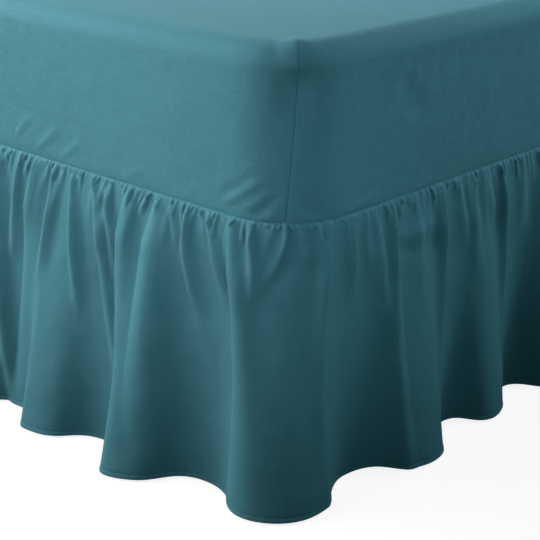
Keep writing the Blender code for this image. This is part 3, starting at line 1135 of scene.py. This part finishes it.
        place, outward = self.outline.place(along)
        sideways = np.stack([-outward[:, 1], outward[:, 0]], axis=-1)
        plan = place + outward * (out - self.cover_thick / 2)[..., None] + sideways * slide[..., None]
        height = self.seam_height - self.seam_gap / 2 - depth * (1 - self.seam_gap / 2 / self.drop)
        return np.concatenate([plan, np.broadcast_to(height[:, None, None], (*plan.shape[:2], 1))], axis=-1)

    def normals(self, along: Array, depth: Array) -> Array:
        """Outward normals on a grid, from small steps down and along the surface.

        Args:
            along: Places of the columns.
            depth: Depths of the rows.

        Returns:
            Unit normals, rows by columns by 3.
        """
        here = self.surface(along, depth)
        down = self.surface(along, depth + self.slope_step) - here
        across = self.surface(along + self.slope_step, depth) - here
        normal = np.cross(down, across)
        return normal / np.linalg.norm(normal, axis=-1, keepdims=True)

    def cloth_grid(self, along: Array, depth: Array) -> Array:
        """Places on a grid whose ends are turned back inside.

        A place past the strip's end or below the hem is folded back at that edge, and it is sunk under the
        cloth by the hem's thickness for each turn. The band of the hem is a little thicker, with a groove at
        its stitches.

        Args:
            along: Places of the columns, which may pass the strip's ends by the hem's width.
            depth: Depths of the rows, which may pass the hem by its width.

        Returns:
            Places, rows by columns by 3.
        """
        past_end = np.maximum(np.maximum(self.first - along, along - self.last), 0.0)
        past_hem = np.maximum(depth - self.drop, 0.0)
        folded_along = np.clip(along, self.first, self.last)
        folded_along = folded_along + np.where(along < self.first, past_end, -past_end)
        order = np.argsort(folded_along, kind="stable")
        back = np.argsort(order, kind="stable")
        folded_depth = np.minimum(depth, self.drop) - past_hem
        places = self.surface(folded_along[order], folded_depth)[:, back]
        normals = self.normals(folded_along[order], folded_depth)[:, back]
        sunk = self.hem_thick * (ease(past_end / self.hem_thick)[None, :]
                                 + ease(past_hem / self.hem_thick)[:, None])
        from_hem = self.drop - folded_depth
        band = self.band_rise * ease((self.hem_width + self.band_edge / 2 - from_hem) / self.band_edge)
        groove = self.groove_depth * bump(from_hem - self.hem_width, self.groove_reach)
        lift = ((band - groove) * (past_hem == 0))[:, None] - sunk
        return places + normals * lift[..., None]

    def columns(self) -> Array:
        """Places of the fine columns, with those of the hems that are turned in at the strip's ends.

        Returns:
            Places in order.
        """
        along = np.linspace(self.first, self.last, self.samples)
        inner = self.grading.places(along, np.abs(along), multiple=2)
        turned = np.array([*self.turned_steps, self.hem_width])
        return np.concatenate([self.first - turned[::-1], inner, self.last + turned])

    def rows(self) -> Array:
        """Depths of the lower rows, from below the gathers to the turned hem's inner edge.

        Returns:
            Depths in order.
        """
        start = self.top_rows[-1]
        band = self.drop - self.hem_width - self.body_end
        steps = math.ceil((band - start) / self.lower_row_step)
        body = np.linspace(start, band, steps + 1)[1:]
        groove = self.hem_width + np.array(self.groove_rows)
        edge = self.drop - np.array([*groove, *self.edge_rows])
        turned = self.drop + np.array([0.0, *self.turned_steps, self.hem_width])
        return np.concatenate([body, edge, turned])

    def build(self) -> list[bpy.types.Object]:
        """Builds the strip and its hem stitching: all the columns at the gathers, every other one below.

        Returns:
            The strip and the stitching.
        """
        fine = self.columns()
        picks = np.arange(0, len(fine), 2)
        coarse = fine[picks]
        top, low = np.array(self.top_rows), self.rows()
        upper = self.cloth_grid(fine, top)
        lower = self.cloth_grid(coarse, low)
        hem_row = lower[int(np.argmin(np.abs(low - self.drop)))]
        travel = running(np.linalg.norm(np.diff(hem_row, axis=0), axis=1))
        self.cloth_length = float(travel[-1])
        mesh = ClothMesh()
        fine_flat = np.stack(np.meshgrid(np.interp(fine, coarse, travel), top), axis=-1)
        coarse_flat = np.stack(np.meshgrid(travel, low), axis=-1)
        upper_numbers = mesh.add(upper, fine_flat)
        lower_numbers = mesh.add(lower, coarse_flat)
        mesh.fill(upper_numbers)
        mesh.join(upper_numbers[-1], lower_numbers[0], picks, upper_is_fine=True)
        mesh.fill(lower_numbers)
        return [mesh.build("frill_cloth"), self.build_stitching()]

    def build_stitching(self) -> bpy.types.Object:
        """The line of machine stitches that holds the hem, even along the cloth.

        Returns:
            The stitching.
        """
        depth = np.array([self.drop - self.hem_width])
        along = np.linspace(self.first + self.stitch_margin, self.last - self.stitch_margin, 2 * self.samples)
        line = self.surface(along, depth)[0]
        travel = running(np.linalg.norm(np.diff(line, axis=0), axis=1))
        count = int(travel[-1] / self.stitch_pitch)
        at = np.interp((np.arange(count) + 0.5) * self.stitch_pitch, travel, along)
        places = self.surface(at, depth)[0]
        ways = self.surface(at + self.way_step, depth)[0] - places
        ways /= np.linalg.norm(ways, axis=1, keepdims=True)
        outs = self.normals(at, depth)[0]
        return stitch_row("hem_stitching", places + outs * self.thread_lift, ways, outs, self.stitch_length,
                          self.thread_radius)

    def dress(self, cloth: bpy.types.Object, stitching: bpy.types.Object) -> None:
        """Gives the strip and its stitching their finishes, attaches them to the root and hides the CAD node
        that the strip stands for.

        The strip's flat depth of 0.43 m is the drop with the hem's turn and the seam allowance.

        Args:
            cloth: The strip.
            stitching: Its hem's stitching.
        """
        # The strip's finish is the cover's cloth made darker: painted shade on the whole frill.
        cloth.data.materials.append(TEAL_FRILL_PAINTED_SHADE.material())
        stitching.data.materials.append(TEAL_THREAD.material())
        for piece in (cloth, stitching):
            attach(piece, "root")
        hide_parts("frill")


# -----------------------------------------------------------------------------------------------------------
# The fitted cover

COVER_CREASES = (
    Crease(((-0.128, 0.430), (-0.090, 0.452), (-0.050, 0.488)), -0.0016, 0.011),
    Crease(((-0.118, 0.424), (-0.070, 0.450), (-0.016, 0.486)), 0.0017, 0.009),
    Crease(((-0.100, 0.448), (-0.072, 0.472), (-0.046, 0.502)), 0.0009, 0.008),
    Crease(((-0.084, 0.420), (-0.050, 0.436), (-0.012, 0.470)), 0.0010, 0.008),
    Crease(((-0.060, 0.415), (-0.034, 0.430), (-0.009, 0.457)), -0.0018, 0.009),
    Crease(((-0.034, 0.413), (-0.020, 0.422), (-0.008, 0.440)), 0.0012, 0.007),
    Crease(((-0.600, 0.430), (-0.580, 0.452), (-0.545, 0.480)), 0.0014, 0.009),
    Crease(((-0.548, 0.418), (-0.512, 0.445), (-0.468, 0.476)), 0.0015, 0.009),
    Crease(((-0.484, 0.416), (-0.455, 0.436), (-0.425, 0.456)), 0.0013, 0.008),
    Crease(((-0.330, 0.416), (-0.300, 0.432), (-0.262, 0.446)), 0.0007, 0.009),
    Crease(((0.080, 0.426), (0.130, 0.434), (0.185, 0.446)), -0.0011, 0.013),
    Crease(((0.090, 0.418), (0.120, 0.420), (0.160, 0.430)), 0.0008, 0.008),
    Crease(((0.010, 0.438), (0.030, 0.428), (0.052, 0.420)), -0.0015, 0.010),
    Crease(((0.200, 0.600), (0.230, 0.560), (0.268, 0.516)), -0.0018, 0.030),
    Crease(((-0.030, 0.483), (-0.015, 0.480), (-0.002, 0.480)), -0.0008, 0.004, ends_full=True),
    Crease(((-0.028, 0.469), (-0.014, 0.466), (-0.003, 0.467)), -0.0008, 0.004, ends_full=True),
    Crease(((-0.036, 0.498), (-0.018, 0.494), (0.000, 0.494)), -0.0008, 0.004, ends_full=True),
    Crease(((-0.022, 0.512), (-0.010, 0.509), (0.001, 0.510)), -0.0006, 0.004, ends_full=True),
)


@dataclass
class FittedCover:
    """The one cloth over the mattress: top and walls, with a sewn dart at each corner."""

    outline: Outline
    top_height: float = 0.66
    seam_height: float = 0.41
    edge_radius: float = 0.036
    thick: float = 0.0015
    seam_gap: float = 0.0006
    ear_rise: float = 0.0150
    ear_out: float = 0.0050
    ear_reach: Pair = (0.030, 0.050)
    ear_inset: float = 0.040
    ear_out_at: Pair = (0.020, 0.026)
    ear_rise_at: Pair = (0.007, 0.020)
    hollow_depth: float = 0.0070
    hollow_spread: float = 0.040
    hollow_middle: float = 0.600
    hollow_reach: Pair = (0.085, 0.032)
    groove_depth: float = 0.0016
    groove_half_width: float = 0.0026
    groove_sharpness: float = 1.6
    edge_roll: float = 0.0009
    roll_reach: float = 0.0035
    wall_share: float = 0.6
    unevenness: float = 0.0006
    uneven_waves: Pair = (0.06, 0.30)
    even_top: Pair = (0.03, 0.06)
    even_seam: float = 0.02
    slant_inset: float = 0.05
    slant_reach: float = 0.10
    hem_turn: float = 0.012
    dart_heights: tuple[float, ...] = (0.413, 0.4875, 0.543, 0.591, 0.638, 0.6576)
    dart_shifts: tuple[float, ...] = (-0.0075, -0.0010, 0.0040, 0.0075, 0.0100, 0.0070)
    other_darts: tuple[float, ...] = (1.0, -0.6, 0.45, -0.8)
    grading: Grading = Grading(0.0042, 0.0125, 0.72, 0.2)
    samples: int = 2000
    dart_columns: tuple[float, ...] = (0.0, 0.0004, 0.0009, 0.0015, 0.0022, 0.0032, 0.0046, 0.0064, 0.0086,
                                       0.0112, 0.0142, 0.0178, 0.022, 0.027, 0.032, 0.037)
    edge_steps: int = 10
    wall_rows: int = 34
    wall_row_power: float = 1.7
    turned_heights: tuple[float, ...] = (-0.0002, 0.0004, 0.005)
    turned_insets: tuple[float, ...] = (0.0003, 0.0006, 0.0007, 0.0007)
    top_rings: tuple[float, ...] = (0.052, 0.044)
    inner_inset: float = 0.062
    top_step: float = 0.034
    stitch_levels: Pair = (0.006, 0.030)
    stitch_pitch: float = 0.0030
    stitch_length: float = 0.0018
    thread_radius: float = 0.0002
    thread_lift: float = 0.0001
    way_step: float = 0.0005

    def columns(self) -> tuple[Array, Array]:
        """Places of the columns round the outline, and which of them the flat middle of the top uses.

        Every stretch between two corners' middles has its dart columns at both ends and even steps between.
        The same number of coarse columns is picked on opposite sides.

        Returns:
            Places, and the numbers of the picked columns.
        """
        corners = [*self.outline.corners, self.outline.perimeter]
        dart = np.array(self.dart_columns)
        places: list[Array] = []
        picks: list[int] = []
        total = 0
        for side in range(4):
            start, end = corners[side] + dart[-1], corners[side + 1] - dart[-1]
            way = np.linspace(start, end, self.samples)
            middle = self.grading.places(way, np.abs(self.outline.from_corner(way, 0)))
            stretch = np.concatenate([corners[side] + dart[:-1], middle, corners[side + 1] - dart[-2:0:-1]])
            coarse = round((corners[side + 1] - corners[side]) / self.top_step)
            wanted = np.linspace(corners[side], corners[side + 1], coarse + 1)[:-1]
            picks += [total + int(np.argmin(np.abs(stretch - place))) for place in wanted]
            places.append(stretch)
            total += len(stretch)
        return np.concatenate([*places, [self.outline.perimeter]]), np.array([*picks, total])

    def rings(self) -> tuple[Array, Array]:
        """The rings, from the top over the rounded edge and down to the turned lower edge.

        The walls' rings come closer towards the seam by a power of the share of the way.

        Returns:
            Insets from the wall and heights.
        """
        top = self.top_height - self.thick / 2
        turns = np.linspace(0, math.pi / 2, self.edge_steps + 1)
        arc_inset = self.edge_radius * (1 - np.sin(turns))
        arc_height = top - self.edge_radius * (1 - np.cos(turns))
        lower = self.seam_height + self.seam_gap / 2
        share = np.linspace(0, 1, self.wall_rows + 1)[1:]
        wall = arc_height[-1] + (lower - arc_height[-1]) * (1 - (1 - share) ** self.wall_row_power)
        turned = lower + np.array([*self.turned_heights, self.hem_turn])
        heights = np.concatenate([np.full(len(self.top_rings), top), arc_height, wall, turned])
        insets = np.concatenate([self.top_rings, arc_inset, np.zeros(len(wall)), self.turned_insets])
        return insets, heights

    def surface(self, along: Array, inset: Array, height: Array) -> Array:
        """Place of the cover's cloth on a grid.

        Near a corner the columns slant with the dart. The dart is a narrow groove whose depth falls off as
        the exponential of the distance from it. Its upper end lifts and stands out in a small ear: a tent
        with straight flanks, wider on the side that the dart leans to, which soft humps shape down the wall
        and which fades with the inset. The wall below the ear sinks by a soft hump across times one down.
        Listed creases and a slight unevenness lie on the walls, and the lower edge rolls in to the seam
        by an exponential.

        Args:
            along: Places of the columns.
            inset: Distance in from the wall for each row.
            height: Height for each row.

        Returns:
            Places, rows by columns by 3.
        """
        rows, columns = len(height), len(along)
        level = height[:, None]
        on_wall = (inset < self.edge_radius * self.wall_share)[:, None]
        below = self.top_height - self.thick / 2 - level
        moved = np.broadcast_to(along, (rows, columns)).copy()
        lift, rise = np.zeros((rows, columns)), np.zeros((rows, columns))
        for corner, lean in enumerate(self.other_darts):
            apart = self.outline.from_corner(along, corner)[None, :]
            slant = lean * np.interp(height, self.dart_heights, self.dart_shifts)[:, None]
            slant = slant * (1 - ease(inset / self.slant_inset))[:, None]
            moved += slant * bump(apart, self.slant_reach)
            ear_reach = np.where(apart * lean > 0, self.ear_reach[1], self.ear_reach[0])
            ear = np.clip(1 - np.abs(apart) / ear_reach, 0, 1) * (1 - ease(inset / self.ear_inset))[:, None]
            reach = np.where(level > self.hollow_middle, self.hollow_reach[1], self.hollow_reach[0])
            hollow = bump(apart, self.hollow_spread) * bump(level - self.hollow_middle, reach) * on_wall
            groove = np.exp(-np.abs(apart) / self.groove_half_width * self.groove_sharpness) * on_wall
            lift += self.ear_out * ear * bump(below - self.ear_out_at[0], self.ear_out_at[1])
            lift -= self.hollow_depth * hollow + self.groove_depth * groove
            rise += self.ear_rise * ear * bump(below - self.ear_rise_at[0], self.ear_rise_at[1])
        from_photo = self.outline.from_corner(along, 0)
        order = np.argsort(from_photo, kind="stable")
        relief = np.zeros((rows, columns))
        for crease in COVER_CREASES:
            relief[:, order] += crease.relief(from_photo[order], height) * on_wall
        above_seam = level - self.seam_height
        below_top = self.top_height - self.even_top[0] - level
        share = ease(below_top / self.even_top[1]) * ease(above_seam / self.even_seam)
        relief += self.unevenness * share * crumple(from_photo[None, :], level, *self.uneven_waves)
        roll = self.edge_roll * np.exp(-above_seam / self.roll_reach)
        place, outward = self.outline.place(moved)
        out = lift + relief - roll * on_wall - inset[:, None] - self.thick / 2
        return np.concatenate([place + outward * out[..., None], (level + rise)[..., None]], axis=-1)

    def top_patch(self, ring: Array, counts: tuple[int, int]) -> Array:
        """The flat middle of the top, between four sides of a ring.

        Each place is the mean of the ways across and along: the blend of the two long sides, plus the blend
        of the two short ones, less the blend of the four corners.

        Args:
            ring: Places of the ring in order, closed, from the photographed corner along the foot.
            counts: Number of steps along the foot and along a long side.

        Returns:
            Places, one row for each step of a long side from the head to the foot.
        """
        foot_steps, side_steps = counts
        foot = ring[:foot_steps + 1]
        right = ring[foot_steps:foot_steps + side_steps + 1]
        head = ring[foot_steps + side_steps:2 * foot_steps + side_steps + 1][::-1]
        left = ring[2 * foot_steps + side_steps:][::-1]
        u = np.linspace(0, 1, foot_steps + 1)[None, :, None]
        v = np.linspace(0, 1, side_steps + 1)[:, None, None]
        across = (1 - v) * foot[None] + v * head[None]
        lengthwise = (1 - u) * left[:, None] + u * right[:, None]
        corners = ((1 - v) * ((1 - u) * foot[0] + u * foot[-1]) + v * ((1 - u) * head[0] + u * head[-1]))
        return (across + lengthwise - corners)[::-1]

    def build(self) -> list[bpy.types.Object]:
        """Builds the cover and its darts' stitching. The top's patch is joined to the walls' first ring.

        Returns:
            The cover and the stitching.
        """
        along, picks = self.columns()
        insets, heights = self.rings()
        walls = self.surface(along, insets, heights)
        walls[:, -1] = walls[:, 0]
        travel = running(np.hypot(np.diff(insets), np.diff(heights)))
        mesh = ClothMesh()
        numbers = mesh.add(walls[:, :-1], np.stack(np.meshgrid(along[:-1], travel), axis=-1))
        numbers = np.concatenate([numbers, numbers[:, :1]], axis=1)
        mesh.fill(numbers)

        ring = self.surface(along[picks], np.array([self.inner_inset]), heights[:1])[0]
        ring[-1] = ring[0]
        foot_steps = int(np.searchsorted(along[picks], self.outline.corners[1] - 1e-6))
        side_steps = int(np.searchsorted(along[picks], self.outline.corners[2] - 1e-6)) - foot_steps
        patch = self.top_patch(ring, (foot_steps, side_steps))
        patch_numbers = mesh.add(patch, patch[..., :2])
        mesh.fill(patch_numbers)
        foot_edge, head_edge = patch_numbers[-1], patch_numbers[0]
        right_edge, left_edge = patch_numbers[::-1, -1], patch_numbers[::-1, 0]
        rim = np.concatenate([foot_edge, right_edge[1:], head_edge[::-1][1:], left_edge[::-1][1:]])
        mesh.join(rim, numbers[0], picks, upper_is_fine=False)
        return [mesh.build("fitted_cover_cloth"), self.build_stitching()]

    def build_stitching(self) -> bpy.types.Object:
        """The stitches that show in the four darts' grooves.

        Returns:
            The stitching.
        """
        places, ways, outs = [], [], []
        low, high = self.stitch_levels
        levels = np.arange(self.seam_height + low, self.top_height - high, self.stitch_pitch)
        flat = np.zeros(len(levels))
        for corner in self.outline.corners:
            at = np.array([corner, corner + self.way_step])
            line = self.surface(at, flat, levels)
            way = np.gradient(line[:, 0], axis=0)
            way /= np.linalg.norm(way, axis=1, keepdims=True)
            _, outward = self.outline.place(np.array([corner]))
            out = np.append(outward[0], 0.0)
            places.append(line[:, 0] + out * self.thread_lift)
            ways.append(way)
            outs.append(np.broadcast_to(out, way.shape))
        return stitch_row("dart_stitching", np.concatenate(places), np.concatenate(ways),
                          np.concatenate(outs), self.stitch_length, self.thread_radius)

    def dress(self, cloth: bpy.types.Object, stitching: bpy.types.Object) -> None:
        """Gives the cover and its stitching their finishes, attaches them to the root and hides the CAD node
        that the cover stands for.

        Its flat cut is a rectangle that covers the top and the four walls, less the corner squares in the
        darts.

        Args:
            cloth: The cover.
            stitching: Its darts' stitching.
        """
        cloth.data.materials.append(TEAL.material())
        stitching.data.materials.append(TEAL_THREAD.material())
        for piece in (cloth, stitching):
            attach(piece, "root")
        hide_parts("fitted_cover")


# -----------------------------------------------------------------------------------------------------------
# The bed underneath


class BedPart(Enum):
    """Kinds of CAD node that stay as they are, by the start of their names."""

    MATTRESS = "mattress"
    BASE = "bed_base"
    FOOT = "foot_"


@dataclass(frozen=True)
class Bed:
    """The plain bed that carries the cloths: CAD nodes that only get finishes."""

    nodes: Mapping[str, bpy.types.Object]

    def dress(self) -> None:
        """Gives each node the finish of its kind."""
        finishes = {BedPart.MATTRESS: TICKING.material(), BedPart.BASE: DIVAN_CLOTH.material(),
                    BedPart.FOOT: FOOT_PLASTIC.material()}
        for name, node in sorted(self.nodes.items()):
            for part, finish in finishes.items():
                if name.startswith(part.value):
                    node.data.materials.clear()
                    node.data.materials.append(finish)
                    log.info("%s finished as %s", name, finish.name)


# -----------------------------------------------------------------------------------------------------------
# The studio


@dataclass(frozen=True)
class SoftLight:
    """A square soft box, placed from the seam's sharp corner in plan, with its spread in degrees."""

    name: str
    place: tuple[float, float, float]
    aim: tuple[float, float, float]
    size: float
    power: float
    spread: float = 180.0
    colour: tuple[float, float, float] = (1.0, 1.0, 1.0)

    def build(self, corner_x: float, corner_y: float) -> None:
        """Adds the light, turned to its aim.

        Args:
            corner_x: The seam's sharp corner across the bed.
            corner_y: The same corner along the bed.
        """
        data = bpy.data.lights.new(self.name, "AREA")
        data.size, data.energy, data.color = self.size, self.power, self.colour
        data.spread = math.radians(self.spread)
        light = linked(self.name, data)
        light.visible_camera = False
        corner = Vector((corner_x, corner_y, 0.0))
        light.matrix_world = facing(corner + Vector(self.place), corner + Vector(self.aim))


LIGHTS = (
    SoftLight("window", (-0.71, 2.08, 1.43), (-0.05, 0.25, 0.40), 0.9, 50.0, 180.0, (1.10, 1.0, 0.99)),
    SoftLight("window_side", (-1.51, 1.47, 1.50), (-0.05, 0.25, 0.40), 0.9, 18.2, 180.0, (1.14, 1.0, 0.99)),
    SoftLight("wall_fill", (-0.9, 0.4, 1.1), (-0.02, 0.3, 0.58), 0.4, 0.43, 80.0, (1.15, 1.0, 0.99)),
    SoftLight("low_fill", (-0.8, 0.25, 0.6), (-0.02, 0.35, 0.57), 0.4, 0.23, 80.0, (1.15, 1.0, 0.99)),
    SoftLight("foot_key", (1.6, -0.6, 1.7), (0.35, 0.15, 0.62), 0.5, 2.0, 60.0),
    SoftLight("overhead", (1.4, 0.6, 1.7), (0.4, 0.4, 0.62), 0.6, 0.70, 70.0, (1.06, 1.0, 1.0)),
    SoftLight("foot_fill", (1.2, -1.2, 0.9), (0.45, 0.0, 0.58), 0.4, 0.27, 50.0, (0.86, 1.0, 1.03)),
    SoftLight("front_fill", (-0.25, -0.75, 1.25), (0.05, 0.0, 0.62), 0.4, 0.13, 70.0, (0.9, 1.0, 1.02)),
    SoftLight("corner_fill", (-0.3, -0.6, 0.6), (0.0, 0.0, 0.40), 0.3, 0.32, 80.0, (0.9, 1.0, 1.02)),
    SoftLight("foot_far", (2.9, -1.4, 1.0), (1.35, 0.0, 0.28), 0.4, 1.1, 30.0, (0.86, 1.0, 1.03)),
    SoftLight("head_side", (3.2, 3.5, 2.3), (1.35, 1.2, 0.35), 1.2, 26.0, 110.0, (0.90, 1.0, 1.0)),
)


def facing(place: Sequence[float], aim: Sequence[float]) -> Matrix:
    """The transform of something at a place that looks at its aim."""
    turn = (Vector(aim) - Vector(place)).to_track_quat("-Z", "Y")
    return Matrix.Translation(place) @ turn.to_matrix().to_4x4()


@dataclass(frozen=True)
class Studio:
    """Camera, soft lights, background and floor."""

    outline: Outline
    lens: float = 84.6
    sensor: float = 36.0
    from_corner: tuple[float, float, float] = (-1.1912, -1.0861, 0.9757)
    heading: float = math.radians(46.54)
    pitch: float = math.radians(20.92)
    surround: Colour = (0.60, 0.94, 1.0, 1.0)
    surround_strength: float = 0.02
    stage_line: tuple[Pair, ...] = ((0.0, 0.0), (10.0, 0.0), (11.2, 0.25), (11.9, 1.0), (12.2, 2.2),
                                    (12.2, 10.0))

    def build(self) -> None:
        """Makes everything around the object."""
        corner_x = -self.outline.width / 2
        corner_y = -self.outline.length / 2 + self.outline.centre_y
        self.build_camera(corner_x, corner_y)
        for light in LIGHTS:
            light.build(corner_x, corner_y)
        world = bpy.data.worlds.new("studio")
        world.use_nodes = True
        background = world.node_tree.nodes["Background"]
        background.inputs["Color"].default_value = self.surround
        background.inputs["Strength"].default_value = self.surround_strength
        bpy.context.scene.world = world
        bpy.context.scene.view_settings.view_transform = "Standard"
        self.build_stage()

    def build_stage(self) -> None:
        """Makes the floor and the round wall it rises into, which neither light nor shade the bed."""
        turns = np.linspace(0, 2 * math.pi, 97)
        radii, heights = np.array(self.stage_line).T
        plan = radii[:, None, None] * np.stack([np.cos(turns), np.sin(turns)], axis=-1)
        points = np.concatenate([plan, np.broadcast_to(heights[:, None, None], (*plan.shape[:2], 1))],
                                axis=-1)
        mesh = ClothMesh()
        mesh.fill(mesh.add(points[::-1], plan[::-1]))
        floor = mesh.build("floor")
        floor.data.materials.append(PaleFloor().material())
        floor.visible_diffuse = floor.visible_glossy = floor.visible_shadow = False

    def build_camera(self, corner_x: float, corner_y: float) -> None:
        """Stands the camera at the photograph's place.

        Args:
            corner_x: The seam's sharp corner across the bed.
            corner_y: The same corner along the bed.
        """
        data = bpy.data.cameras.new("camera")
        data.lens, data.sensor_width = self.lens, self.sensor
        place = Vector((corner_x + self.from_corner[0], corner_y + self.from_corner[1], self.from_corner[2]))
        ahead = Vector((math.sin(self.heading) * math.cos(self.pitch),
                        math.cos(self.heading) * math.cos(self.pitch),
                        -math.sin(self.pitch)))
        camera = linked("camera", data)
        camera.matrix_world = facing(place, place + ahead)
        bpy.context.scene.camera = camera


def main() -> None:
    """Loads the frame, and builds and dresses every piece."""
    logging.basicConfig(level=logging.INFO, format="%(name)s: %(message)s")
    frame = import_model()
    outline = Outline()
    Studio(outline).build()
    log.info("studio built")
    for part in (FittedCover(outline), Frill(outline)):
        pieces = part.build()
        part.dress(*pieces)
        for piece in pieces:
            log.info("%s: %d points, %d faces", piece.name, len(piece.data.vertices),
                     len(piece.data.polygons))
    Bed(frame["nodes"]).dress()


if __name__ == "__main__":
    main()
